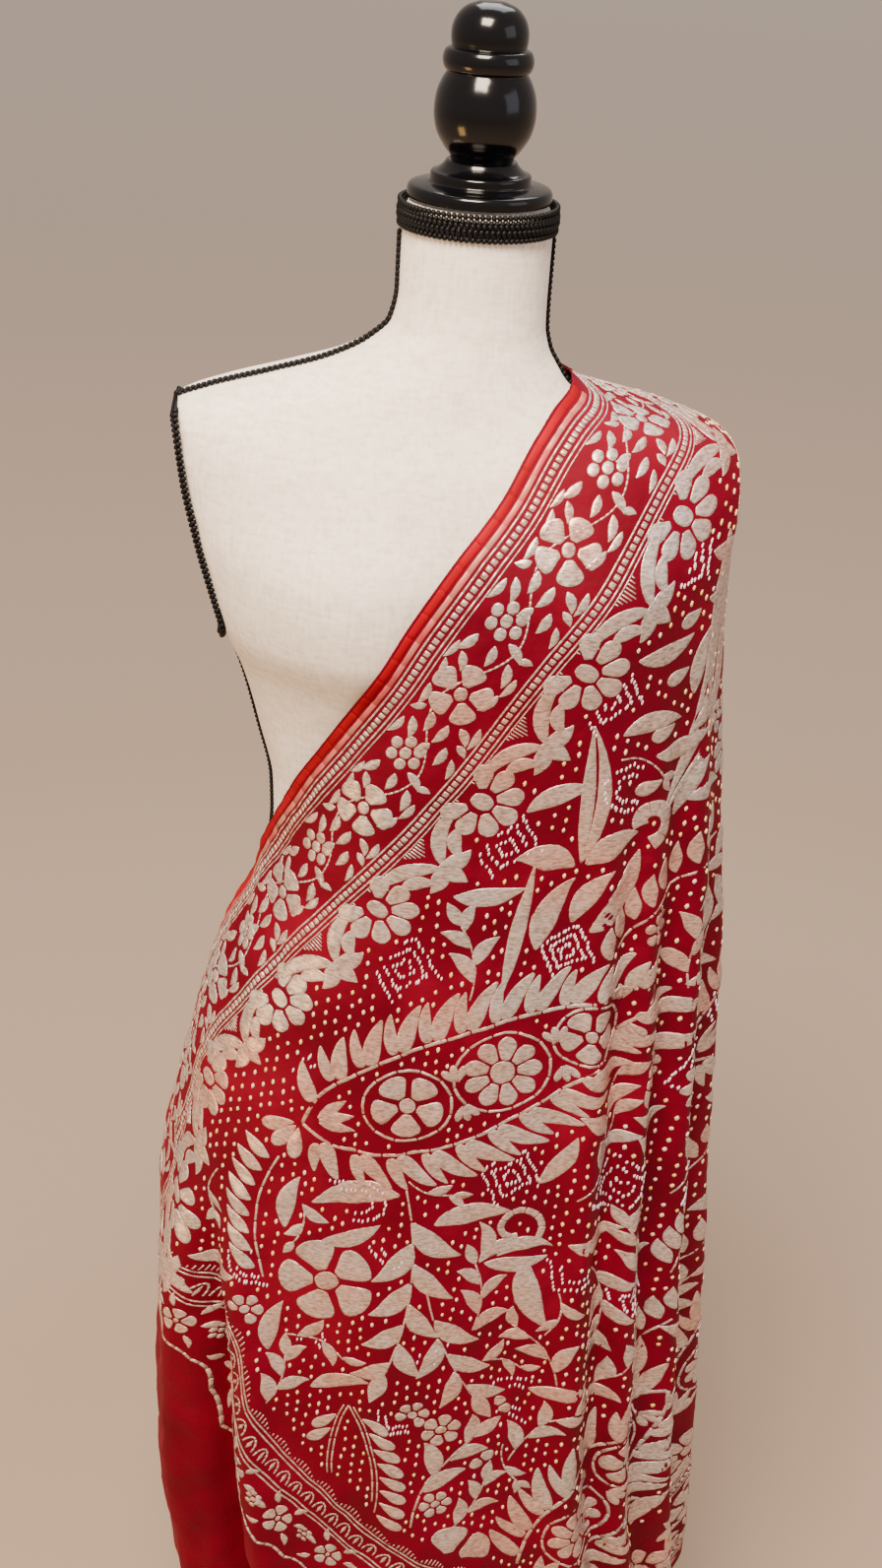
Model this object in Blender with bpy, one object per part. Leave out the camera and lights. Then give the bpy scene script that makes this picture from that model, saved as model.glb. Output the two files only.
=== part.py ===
"""Bandhani cloth draped over one shoulder of a dress form.

The form is the plain stand that the cloth hangs from: a round base, a pole, a
linen torso with its arm plates, black braid at the neck, shoulders, armholes
and sides, a wooden neck cap and a turned finial.  The cloth is one sheet.  It
passes over the shoulder beside the neck, falls slantwise across the bust to
the far hip, hangs in upright folds at the arm side and ends in a slanting hem.

Metres, +Z up, the form faces -Y, origin at the middle of the base's underside.
"""

import bmesh
import bpy
import numpy as np

# Sizes of the stand
NECK_TOP = 1.740
BASE_RADIUS = 0.190
BASE_THICK = 0.022
HUB_RADIUS = 0.034
HUB_TOP = 0.046
POLE_RADIUS = 0.016
TORSO_BOTTOM = NECK_TOP - 0.745
SEAT = 0.0003
BRAID_SEAT = 0.0005
BRAID_HALF_WIDTH = 0.0040
BRAID_HALF_THICK = 0.0016
ARMHOLE_BRAID_RADIUS = 0.0025
BRAID_CLEARANCE = 0.0052
CLOTH_SEAT = 0.0011

# Sizes of the cloth
CLOTH_THICK = 0.0015
CLOTH_WIDTH = 0.940
CLOTH_FRONT_LENGTH = 1.200
BACK_DROP = 1.030
DRAPE_START = 0.116
LOWEST = 1.720
SELVEDGE_SLOPE = 33.0
END_SLOPE = 33.0
APEX_LIFT = 0.0016
LOWER_ROWS = 13

# Depths of the cloth's level upper rows, close together over the shoulder
UPPER_ROWS = np.array([
    0.116, 0.120, 0.126, 0.132, 0.138, 0.145, 0.152, 0.159, 0.167, 0.177, 0.190, 0.210, 0.235,
])

# Depth below the neck's top against reach to either side, front reach, back reach, squareness
TORSO = np.array([
    # depth   left    right   front   back    power
    (0.000, 0.0470, 0.0470, 0.0465, 0.0465, 2.00),
    (0.012, 0.0520, 0.0520, 0.0505, 0.0505, 2.00),
    (0.060, 0.0520, 0.0520, 0.0505, 0.0505, 2.00),
    (0.082, 0.0560, 0.0525, 0.0530, 0.0545, 2.00),
    (0.098, 0.0720, 0.0560, 0.0570, 0.0590, 2.05),
    (0.112, 0.1000, 0.0640, 0.0610, 0.0650, 2.10),
    (0.124, 0.1400, 0.0730, 0.0650, 0.0710, 2.20),
    (0.136, 0.1830, 0.0960, 0.0690, 0.0770, 2.30),
    (0.146, 0.2080, 0.1260, 0.0740, 0.0830, 2.35),
    (0.158, 0.2150, 0.1640, 0.0810, 0.0890, 2.40),
    (0.170, 0.2140, 0.1900, 0.0880, 0.0930, 2.40),
    (0.200, 0.2080, 0.1980, 0.0980, 0.0980, 2.40),
    (0.250, 0.1950, 0.1880, 0.1100, 0.1030, 2.40),
    (0.300, 0.1800, 0.1760, 0.1100, 0.1020, 2.40),
    (0.345, 0.1600, 0.1580, 0.1000, 0.0980, 2.30),
    (0.400, 0.1450, 0.1440, 0.0900, 0.0900, 2.20),
    (0.450, 0.1340, 0.1340, 0.0840, 0.0840, 2.20),
    (0.480, 0.1330, 0.1330, 0.0840, 0.0860, 2.20),
    (0.540, 0.1420, 0.1420, 0.0920, 0.1000, 2.20),
    (0.600, 0.1600, 0.1600, 0.1000, 0.1150, 2.20),
    (0.660, 0.1720, 0.1720, 0.1040, 0.1240, 2.20),
    (0.720, 0.1740, 0.1740, 0.1020, 0.1200, 2.20),
    (0.745, 0.1720, 0.1720, 0.1000, 0.1180, 2.20),
])

# Where the flat arm plates cut the shoulders off
ARM_PLATE = np.array([
    # depth   left    right
    (0.140, 0.2060, 0.1900),
    (0.156, 0.2030, 0.1880),
    (0.200, 0.1965, 0.1860),
    (0.250, 0.1840, 0.1765),
    (0.300, 0.1700, 0.1660),
    (0.320, 0.1720, 0.1690),
])
ARMHOLES = {
    # side: (middle depth, half height)
    -1: (0.2320, 0.0815),
    1: (0.2400, 0.0700),
}

BUST_DEPTH = 0.262
BUST_ANGLE = 37.0
BUST_RISE = 0.022
BUST_SPREAD = 17.0
BUST_HEIGHT = 0.050

# The cloth's hull: reach to either side, to the front and to the back
HULL = np.array([
    # depth   left    right   front   back    power
    (0.110, 0.0500, 0.0550, 0.0400, 0.0400, 2.10),
    (0.150, 0.0900, 0.1300, 0.0780, 0.0850, 2.20),
    (0.170, 0.1000, 0.1800, 0.0900, 0.0950, 2.20),
    (0.200, 0.1000, 0.1980, 0.1100, 0.1050, 2.20),
    (0.242, 0.1100, 0.2030, 0.1260, 0.1140, 2.25),
    (0.300, 0.1100, 0.2070, 0.1310, 0.1200, 2.30),
    (0.455, 0.1240, 0.2230, 0.1240, 0.1280, 2.30),
    (0.520, 0.1400, 0.2300, 0.1230, 0.1320, 2.25),
    (0.615, 0.1790, 0.2390, 0.1280, 0.1400, 2.20),
    (0.696, 0.1980, 0.2450, 0.1340, 0.1450, 2.20),
    (0.816, 0.2220, 0.2540, 0.1430, 0.1500, 2.20),
    (0.900, 0.2360, 0.2620, 0.1500, 0.1520, 2.20),
    (1.045, 0.2400, 0.2740, 0.1600, 0.1560, 2.20),
    (1.164, 0.2400, 0.2830, 0.1680, 0.1600, 2.20),
    (1.264, 0.2320, 0.2920, 0.1740, 0.1620, 2.20),
    (1.422, 0.2220, 0.3020, 0.1800, 0.1640, 2.20),
    (1.720, 0.2150, 0.3080, 0.1820, 0.1660, 2.20),
])

# Angle of each selvedge round the form: 0 is the arm side, -90 the front, 90 the back
FRONT_SELVEDGE = np.array([
    # depth   angle
    (0.116, 0.0),
    (0.119, -24.0),
    (0.124, -43.0),
    (0.136, -57.0),
    (0.156, -70.0),
    (0.179, -80.0),
    (0.217, -96.0),
    (0.257, -107.0),
    (0.304, -117.0),
    (0.358, -133.0),
    (0.419, -152.0),
    (0.469, -166.0),
    (0.510, -175.0),
    (0.550, -180.0),
    (0.600, -184.0),
    (0.700, -194.0),
    (0.800, -206.0),
    (0.900, -220.0),
    (1.000, -234.0),
    (1.100, -246.0),
    (1.250, -250.0),
    (1.720, -250.0),
])
BACK_SELVEDGE = np.array([
    # depth   angle
    (0.116, 0.0),
    (0.119, 24.0),
    (0.124, 43.0),
    (0.136, 57.0),
    (0.156, 66.0),
    (0.190, 72.0),
    (0.250, 75.0),
    (0.500, 77.0),
    (1.100, 82.0),
    (1.720, 83.0),
])

# Lines that the cloth's columns follow: share of the girth from the front selvedge
GUIDES = np.array([
    # depth   pleat  first fold
    (0.116, 0.050, 0.250),
    (0.150, 0.050, 0.220),
    (0.260, 0.050, 0.270),
    (0.370, 0.050, 0.348),
    (0.483, 0.060, 0.414),
    (0.620, 0.100, 0.464),
    (0.767, 0.182, 0.506),
    (0.900, 0.248, 0.540),
    (1.000, 0.290, 0.558),
    (1.120, 0.316, 0.568),
    (1.226, 0.325, 0.570),
    (1.720, 0.330, 0.576),
])

# Columns of each span, and how they crowd: above 1 toward its start, below 1 toward its end
SPANS = np.array([
    # count  crowd
    (16, 0.70),
    (22, 1.20),
    (50, 1.12),
])

# Folds: place 0 is the front selvedge, 1 the hip pleat, 2 the first fold, 3 the back selvedge
FOLDS = np.array([
    # place  spread   height   starts  full
    (0.300, 0.0260, 0.0090, 0.620, 1.000),
    (0.620, 0.0240, -0.0090, 0.640, 1.000),
    (0.860, 0.0130, 0.0130, 0.760, 1.000),
    (1.000, 0.0105, -0.0270, 0.780, 0.960),
    (1.110, 0.0130, 0.0120, 0.740, 1.000),
    (1.330, 0.0240, -0.0060, 0.620, 1.100),
    (1.560, 0.0280, 0.0060, 0.560, 1.200),
    (1.800, 0.0220, -0.0050, 0.460, 1.100),
    (2.005, 0.0120, 0.0120, 0.230, 0.700),
    (2.058, 0.0110, -0.0120, 0.260, 0.800),
    (2.106, 0.0115, 0.0110, 0.240, 0.640),
    (2.160, 0.0130, -0.0150, 0.250, 0.760),
    (2.215, 0.0120, 0.0120, 0.220, 0.600),
    (2.275, 0.0140, -0.0140, 0.300, 0.900),
    (2.345, 0.0150, 0.0130, 0.260, 0.700),
    (2.410, 0.0150, -0.0150, 0.300, 0.800),
    (2.480, 0.0150, 0.0120, 0.280, 0.750),
    (2.555, 0.0170, -0.0170, 0.300, 0.800),
    (2.640, 0.0180, 0.0140, 0.280, 0.700),
    (2.725, 0.0180, -0.0160, 0.320, 0.850),
    (2.810, 0.0170, 0.0120, 0.300, 0.800),
    (2.900, 0.0180, -0.0120, 0.340, 0.900),
])

COLOURS = {
    "painted_metal_black": ((0.012, 0.012, 0.013), 0.35, 1.0),
    "wood_black": ((0.010, 0.009, 0.009), 0.18, 0.0),
    "linen": ((0.740, 0.700, 0.620), 0.90, 0.0),
    "braid_black": ((0.014, 0.013, 0.014), 0.75, 0.0),
    "cloth_red": ((0.390, 0.002, 0.018), 0.72, 0.0),
}


def smooth_table(x, table, column):
    """Read a table column at x along a curve that keeps the table's own rises and falls."""
    xs = table[:, 0]
    ys = table[:, column]
    h = np.diff(xs)
    slope = np.diff(ys) / h
    tangent = np.zeros_like(ys)
    inner = slope[:-1] * slope[1:] > 0
    mean = 3 * (h[:-1] + h[1:])
    low = (2 * h[1:] + h[:-1]) / np.where(inner, slope[:-1], 1)
    high = (h[1:] + 2 * h[:-1]) / np.where(inner, slope[1:], 1)
    tangent[1:-1] = np.where(inner, mean / np.where(inner, low + high, 1), 0)
    tangent[0] = slope[0]
    tangent[-1] = slope[-1]
    x = np.clip(x, xs[0], xs[-1])
    i = np.clip(np.searchsorted(xs, x, side="right") - 1, 0, len(xs) - 2)
    f = (x - xs[i]) / h[i]
    a = (1 + 2 * f) * (1 - f) ** 2
    b = f * (1 - f) ** 2 * h[i]
    c = f * f * (3 - 2 * f)
    d = f * f * (f - 1) * h[i]
    return a * ys[i] + b * tangent[i] + c * ys[i + 1] + d * tangent[i + 1]


def smooth_step(x):
    """Rise from 0 to 1 as x goes from 0 to 1, level at both ends."""
    x = np.clip(x, 0, 1)
    return x * x * (3 - 2 * x)


def torso_radius(angle, depth):
    """Radius of the torso: a squared ellipse, cut by the arm plates, with the bust added."""
    left = smooth_table(depth, TORSO, 1)
    right = smooth_table(depth, TORSO, 2)
    front = smooth_table(depth, TORSO, 3)
    back = smooth_table(depth, TORSO, 4)
    power = smooth_table(depth, TORSO, 5)
    half = np.where(np.cos(angle) < 0, left, right)
    reach = np.where(np.sin(angle) < 0, front, back)
    x = np.abs(np.cos(angle))
    y = np.abs(np.sin(angle))
    radius = ((x / half) ** power + (y / reach) ** power) ** (-1 / power)
    for side in (-1, 1):
        centre = np.radians(-90 + side * BUST_ANGLE)
        turn = (angle - centre + np.pi) % (2 * np.pi) - np.pi
        across = np.exp(-0.5 * (turn / np.radians(BUST_SPREAD)) ** 2)
        along = np.exp(-0.5 * ((depth - BUST_DEPTH) / BUST_HEIGHT) ** 2)
        radius = radius + BUST_RISE * across * along
    plate = np.where(np.cos(angle) < 0, plate_reach(-1, depth), plate_reach(1, depth))
    return np.minimum(radius, plate / np.maximum(x, 1e-6))


def plate_reach(side, depth):
    """Reach of one arm plate at a depth, and far off where there is none."""
    column = 1 if side < 0 else 2
    return np.interp(depth, ARM_PLATE[:, 0], ARM_PLATE[:, column], left=1, right=1)


def cloth_gap(angle, depth):
    """Distance from the torso to the middle of the cloth: more where the armhole braid is."""
    thick = CLOTH_THICK / 2
    rest = BRAID_SEAT + 2 * BRAID_HALF_THICK + CLOTH_SEAT + thick
    clear = BRAID_SEAT + 2 * ARMHOLE_BRAID_RADIUS + BRAID_CLEARANCE + thick
    turn = np.abs((angle + np.pi) % (2 * np.pi) - np.pi)
    near = smooth_step((np.radians(62) - turn) / np.radians(24))
    level = smooth_step((depth - 0.128) / 0.022) * smooth_step((0.370 - depth) / 0.05)
    return rest + (clear - rest) * near * level


def cloth_floor(angle, depth):
    """Least radius that the cloth may have: the torso grown by the gap along its normal."""
    gap = cloth_gap(angle, depth)
    radius = torso_radius(angle, depth) + gap
    for lean in (20, 40, 60, 80):
        lift = gap * np.sin(np.radians(lean))
        reach = gap * np.cos(np.radians(lean))
        radius = np.maximum(radius, torso_radius(angle, depth + lift) + reach)
    return np.where(depth > 0.70, radius * smooth_step((0.80 - depth) / 0.10), radius)


def hull_radius(angle, depth):
    """Radius of the unfolded cloth: a squared ellipse blended with the least radius."""
    left = smooth_table(depth, HULL, 1)
    right = smooth_table(depth, HULL, 2)
    front = smooth_table(depth, HULL, 3)
    back = smooth_table(depth, HULL, 4)
    power = smooth_table(depth, HULL, 5)
    side = np.where(np.cos(angle) < 0, left, right)
    reach = np.where(np.sin(angle) < 0, front, back)
    x = np.abs(np.cos(angle))
    y = np.abs(np.sin(angle))
    hull = ((x / side) ** power + (y / reach) ** power) ** (-1 / power)
    least = cloth_floor(angle, depth)
    blend = 0.012 * smooth_step((depth - 0.10) / 0.10) + 0.0005
    gap = np.abs(hull - least) / blend
    return np.maximum(hull, least) + blend * np.exp(-gap) * 0.35


def section_tables(depths, angles):
    """For each depth, the unfolded section's points, outward normals and girth from the front."""
    depth = depths[:, None] + 0 * angles[None, :]
    angle = angles[None, :] + 0 * depth
    radius = hull_radius(angle, depth)
    x = radius * np.cos(angle)
    y = radius * np.sin(angle)
    step = np.hypot(np.diff(x, axis=1), np.diff(y, axis=1))
    girth = np.concatenate([np.zeros((len(depths), 1)), np.cumsum(step, axis=1)], axis=1)
    front = np.argmin(np.abs(angles + np.pi / 2))
    girth = girth - girth[:, front:front + 1]
    tx = np.gradient(x, axis=1)
    ty = np.gradient(y, axis=1)
    size = np.hypot(tx, ty)
    return x, y, ty / size, -tx / size, girth


DEPTHS = DRAPE_START + (LOWEST - DRAPE_START) * np.linspace(0, 1, 391) ** 1.25
ANGLES = np.radians(np.linspace(-256, 96, 1057))
SECTION = section_tables(DEPTHS, ANGLES)


def read_section(grid, row, column):
    """Read a section table between its rows and columns."""
    r = np.clip(row, 0, grid.shape[0] - 1.001)
    c = np.clip(column, 0, grid.shape[1] - 1.001)
    i = r.astype(int)
    j = c.astype(int)
    f = r - i
    g = c - j
    top = grid[i, j] * (1 - g) + grid[i, j + 1] * g
    low = grid[i + 1, j] * (1 - g) + grid[i + 1, j + 1] * g
    return top * (1 - f) + low * f


def row_of(depth):
    """Row number of a depth in the section tables."""
    return np.interp(depth, DEPTHS, np.arange(len(DEPTHS)))


def column_of(angle):
    """Column number of an angle in the section tables."""
    return np.interp(angle, ANGLES, np.arange(len(ANGLES)))


def girth_at(angle, depth):
    """Girth from the front middle to an angle, along the unfolded section."""
    return read_section(SECTION[4], row_of(depth), column_of(angle))


def selvedge_girths(depth):
    """Girth of the front selvedge and of the back one at a depth."""
    front = np.radians(smooth_table(depth, FRONT_SELVEDGE, 1))
    back = np.radians(smooth_table(depth, BACK_SELVEDGE, 1))
    return girth_at(front, depth), girth_at(back, depth)


def guide_girths(depth):
    """Girths of the lines that the columns follow: selvedge, pleat, first fold, selvedge."""
    corner_girth, corner_depth = CORNER
    front, back = selvedge_girths(depth)
    front = np.where(depth > corner_depth, np.minimum(front, corner_girth), front)
    pleat = front + (back - front) * smooth_table(depth, GUIDES, 1)
    first = front + (back - front) * smooth_table(depth, GUIDES, 2)
    return np.stack([front, pleat, first, back])


def girth_of_place(place, depth, table):
    """Girth at a place between the guide lines, read from their table over DEPTHS."""
    row = row_of(depth)
    span = np.clip(place, 0, 2.999999).astype(int)
    share = place - span
    r = np.clip(row, 0, len(DEPTHS) - 1.001)
    i = r.astype(int)
    f = r - i
    start = table[span, i] * (1 - f) + table[span, i + 1] * f
    stop = table[span + 1, i] * (1 - f) + table[span + 1, i + 1] * f
    return start + (stop - start) * share


def fold_offset(girth, depth):
    """Sum of the folds: each a bell curve across, growing with depth."""
    total = np.zeros_like(girth)
    for place, spread, height, starts, full in FOLDS:
        middle = girth_of_place(place + 0 * depth, depth, GUIDE_LINES)
        grow = smooth_step((depth - starts) / (full - starts))
        total = total + height * grow * np.exp(-0.5 * ((girth - middle) / spread) ** 2)
    return total


def hem_depth(girth, corner_girth, corner_depth):
    """Depth of the hem: the end's slope, then the lower selvedge's rise to the back's hem."""
    end = corner_depth + (girth - corner_girth) * np.tan(np.radians(END_SLOPE))
    low_girth = corner_girth + CLOTH_WIDTH * np.cos(np.radians(END_SLOPE))
    low_depth = corner_depth + CLOTH_WIDTH * np.sin(np.radians(END_SLOPE))
    rise = low_depth - (girth - low_girth) / np.tan(np.radians(SELVEDGE_SLOPE))
    back = DRAPE_START + BACK_DROP
    return np.minimum(end, np.maximum(rise, back))


def find_corner():
    """Girth and depth where the front selvedge has run the cloth's front length."""
    depth = np.linspace(DRAPE_START, 1.30, 600)
    girth, _ = selvedge_girths(depth)
    run = np.concatenate([[0], np.cumsum(np.hypot(np.diff(depth), np.diff(girth)))])
    at = np.interp(CLOTH_FRONT_LENGTH, run, depth)
    return np.interp(at, depth, girth), at


CORNER = find_corner()
GUIDE_LINES = guide_girths(DEPTHS)


def column_places(spans):
    """Places of the columns, span by span."""
    parts = []
    for number, (count, crowd) in enumerate(spans):
        share = np.arange(int(count)) / count
        if crowd < 1:
            share = 1 - (1 - share) ** (1 / crowd)
        else:
            share = share ** crowd
        parts.append(number + share)
    return np.concatenate(parts + [[float(len(spans))]])


def cloth_grid(place, upper, lower):
    """Points of the sheet's middle: columns fan out from the neck, rows run to the hem.

    The upper rows are level, at the given depths.  The lower ones share out what is
    left of each column down to its own hem.
    """
    corner_girth, corner_depth = CORNER
    depth = np.linspace(DRAPE_START, LOWEST - 0.02, 900)
    wide = place[:, None] + 0 * depth[None, :]
    deep = depth[None, :] + 0 * place[:, None]
    girth = girth_of_place(wide, deep, GUIDE_LINES)
    over = deep - hem_depth(girth, corner_girth, corner_depth)
    over[0] = depth - corner_depth
    first = np.argmax(over > 0, axis=1)
    before = over[np.arange(len(place)), first - 1]
    after = over[np.arange(len(place)), first]
    hem = depth[first - 1] + (depth[first] - depth[first - 1]) * before / (before - after)
    w = np.linspace(0, 1, lower + 1)[1:] ** 1.25
    z_low = upper[-1] + (hem[:, None] - upper[-1]) * w[None, :]
    z_top = np.broadcast_to(upper, (len(place), len(upper)))
    z = np.concatenate([z_top, z_low], axis=1)
    girth = girth_of_place(place[:, None] + 0 * z, z, GUIDE_LINES)
    return surface_points(girth, z)


def angle_column(girth, row):
    """Column of the section tables where each row's girth has the value given."""
    shape = girth.shape
    girth = girth.ravel()
    row = np.clip(row.ravel(), 0, len(DEPTHS) - 1.001)
    low = np.zeros(len(girth))
    high = np.full(len(girth), len(ANGLES) - 1.001)
    for _ in range(26):
        middle = (low + high) / 2
        more = read_section(SECTION[4], row, middle) < girth
        low = np.where(more, middle, low)
        high = np.where(more, high, middle)
    return ((low + high) / 2).reshape(shape)


def surface_points(girth, depth):
    """Folded sheet's points at a girth and depth: the hull moved along its level normal."""
    row = row_of(depth)
    column = angle_column(girth, row)
    x, y, nx, ny = (read_section(SECTION[k], row, column) for k in range(4))
    offset = fold_offset(girth, depth)
    x = x + nx * offset
    y = y + ny * offset
    angle = np.arctan2(y, x)
    radius = np.hypot(x, y)
    wanted = np.maximum(radius, cloth_floor(angle, depth))
    return np.stack([x * wanted / radius, y * wanted / radius, NECK_TOP - depth], axis=-1)


def material(name):
    """A plain Principled material from the colour table."""
    found = bpy.data.materials.get(name)
    if found:
        return found
    colour, rough, metal = COLOURS[name]
    made = bpy.data.materials.new(name)
    made.use_nodes = True
    shader = made.node_tree.nodes["Principled BSDF"]
    shader.inputs["Base Color"].default_value = (*colour, 1)
    shader.inputs["Roughness"].default_value = rough
    shader.inputs["Metallic"].default_value = metal
    made.diffuse_color = (*colour, 1)
    return made


def add_object(name, points, faces, slot, origin, smooth=True):
    """Make one named object with its origin at the given place."""
    mesh = bpy.data.meshes.new(name)
    local = np.asarray(points, dtype=float) - np.asarray(origin, dtype=float)
    mesh.from_pydata(local.tolist(), [], faces)
    mesh.materials.append(material(slot))
    work = bmesh.new()
    work.from_mesh(mesh)
    bmesh.ops.recalc_face_normals(work, faces=work.faces)
    work.to_mesh(mesh)
    work.free()
    if smooth:
        mesh.polygons.foreach_set("use_smooth", [True] * len(mesh.polygons))
    mesh.update()
    made = bpy.data.objects.new(name, mesh)
    made.location = origin
    bpy.context.scene.collection.objects.link(made)
    return made


def grid_faces(n, m, wrap_n=False, wrap_m=False):
    """Quads of an n by m grid of points numbered row after row."""
    faces = []
    for i in range(n if wrap_n else n - 1):
        for j in range(m if wrap_m else m - 1):
            a = i * m + j
            b = i * m + (j + 1) % m
            c = ((i + 1) % n) * m + (j + 1) % m
            d = ((i + 1) % n) * m + j
            faces.append((a, b, c, d))
    return faces


def turned(name, profile, slot, origin, sides=48):
    """A turned solid from its profile of radius and height, closed by flat ends."""
    turn = np.arange(sides) * 2 * np.pi / sides
    points = []
    for radius, height in profile:
        ring = np.stack([radius * np.cos(turn), radius * np.sin(turn)], axis=1)
        points.append(np.column_stack([ring, np.full(sides, height)]))
    faces = grid_faces(len(profile), sides, wrap_m=True)
    last = (len(profile) - 1) * sides
    faces.append(tuple(reversed(range(sides))))
    faces.append(tuple(range(last, last + sides)))
    return add_object(name, np.concatenate(points), faces, slot, origin)


def tube(name, centres, outward, half_wide, half_thick, slot, closed=False):
    """A flat braid swept along its centres, six-sided, its thickness along the outward side."""
    centres = np.asarray(centres)
    outward = np.asarray(outward)
    if closed:
        along = np.roll(centres, -1, axis=0) - np.roll(centres, 1, axis=0)
    else:
        along = np.gradient(centres, axis=0)
    along = along / np.linalg.norm(along, axis=1, keepdims=True)
    outward = outward - along * np.sum(along * outward, axis=1, keepdims=True)
    outward = outward / np.linalg.norm(outward, axis=1, keepdims=True)
    across = np.cross(along, outward)
    turn = np.arange(6) * np.pi / 3
    ring = across[:, None, :] * (half_wide * np.cos(turn))[None, :, None]
    ring = ring + outward[:, None, :] * (half_thick / 0.866 * np.sin(turn))[None, :, None]
    points = (centres[:, None, :] + ring).reshape(-1, 3)
    faces = grid_faces(len(centres), 6, wrap_n=closed, wrap_m=True)
    if not closed:
        last = (len(centres) - 1) * 6
        faces.append(tuple(reversed(range(6))))
        faces.append(tuple(range(last, last + 6)))
    made = add_object(name, points, faces, slot, centres[0])
    return made


def torso_rows():
    """Depths of the torso's rings, closer at the shoulders."""
    parts = [
        np.linspace(0.000, 0.060, 3, endpoint=False),
        np.linspace(0.060, 0.180, 14, endpoint=False),
        np.linspace(0.180, 0.330, 7, endpoint=False),
        np.linspace(0.330, 0.745, 11),
    ]
    return np.concatenate(parts)


def build_torso():
    """The linen torso: rings of the torso's radius, closed flat above and below."""
    sides = 48
    depth = torso_rows()
    angle = np.arange(sides) * 2 * np.pi / sides
    radius = torso_radius(angle[None, :] + 0 * depth[:, None], depth[:, None] + 0 * angle[None, :])
    x = radius * np.cos(angle)
    y = radius * np.sin(angle)
    z = NECK_TOP - depth[:, None] + 0 * x
    points = np.stack([x, y, z], axis=-1)[::-1].reshape(-1, 3)
    faces = grid_faces(len(depth), sides, wrap_m=True)
    last = (len(depth) - 1) * sides
    faces.append(tuple(reversed(range(sides))))
    faces.append(tuple(range(last, last + sides)))
    return add_object("torso", points, faces, "linen", (0, 0, TORSO_BOTTOM))


def side_profile(side, depth):
    """Reach and outward slope of the torso's side line at each depth."""
    rows = torso_rows()
    angle = np.full_like(rows, 0.0 if side > 0 else np.pi)
    line = torso_radius(angle, rows)
    reach = np.interp(depth, rows, line)
    step = 0.004
    ahead = np.interp(depth + step, rows, line)
    behind = np.interp(depth - step, rows, line)
    slope = (ahead - behind) / (2 * step)
    size = np.sqrt(1 + slope * slope)
    return reach, 1 / size, slope / size


def build_braids(side, tag):
    """Shoulder, armhole and side braids of one side."""
    rows = torso_rows()
    lift = BRAID_SEAT + BRAID_HALF_THICK
    middle, tall = ARMHOLES[side]
    end = middle - tall - 0.0095
    top = np.append(rows[(rows > 0.020) & (rows < end - 0.002)], end)
    low = rows[(rows > middle + tall + 0.012) & (rows < 0.735)]
    for name, depth in (("shoulder_braid_", top), ("side_braid_", low)):
        reach, out_x, out_z = side_profile(side, depth)
        x = side * (reach + lift * out_x)
        z = NECK_TOP - depth + lift * out_z
        centres = np.stack([x, 0 * x, z], axis=1)
        outward = np.stack([side * out_x, 0 * x, out_z], axis=1)
        tube(name + tag, centres, outward, BRAID_HALF_WIDTH, BRAID_HALF_THICK, "braid_black")
    depth, deep = armhole_rim(side)
    plate = plate_reach(side, depth)
    away = 1.155 * ARMHOLE_BRAID_RADIUS + BRAID_SEAT + 0.0004
    centre = np.array([0.150, 0, middle])
    loop = []
    for sign, order in ((-1, slice(None)), (1, slice(None, None, -1))):
        y = sign * deep[order]
        loop.append(np.stack([plate[order], y, depth[order]], axis=1))
    loop = np.concatenate(loop)
    outward = loop - centre
    outward[:, 0] = 0
    outward = outward / np.linalg.norm(outward, axis=1, keepdims=True)
    outward = outward * 0.5
    outward[:, 0] = np.sqrt(0.75)
    centres = loop + outward * away
    centres = np.stack([side * centres[:, 0], centres[:, 1], NECK_TOP - centres[:, 2]], axis=1)
    outward = np.stack([side * outward[:, 0], outward[:, 1], -outward[:, 2]], axis=1)
    radius = ARMHOLE_BRAID_RADIUS
    tube("armhole_braid_" + tag, centres, outward, radius, radius, "braid_black", closed=True)


def armhole_rim(side):
    """Depth and half depth from front to back of the arm plate's rim, top to bottom."""
    middle, tall = ARMHOLES[side]
    turn = np.radians(np.linspace(6, 174, 15))
    depth = middle - tall * np.cos(turn)
    half = smooth_table(depth, TORSO, 1 if side < 0 else 2)
    front = smooth_table(depth, TORSO, 3)
    power = smooth_table(depth, TORSO, 5)
    inside = np.clip(1 - (plate_reach(side, depth) / half) ** power, 0.0004, 1)
    deep = front * inside ** (1 / power)
    round_top = 0.047 * np.sin(turn)
    return depth, np.maximum(deep, 0.6 * round_top)


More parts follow.
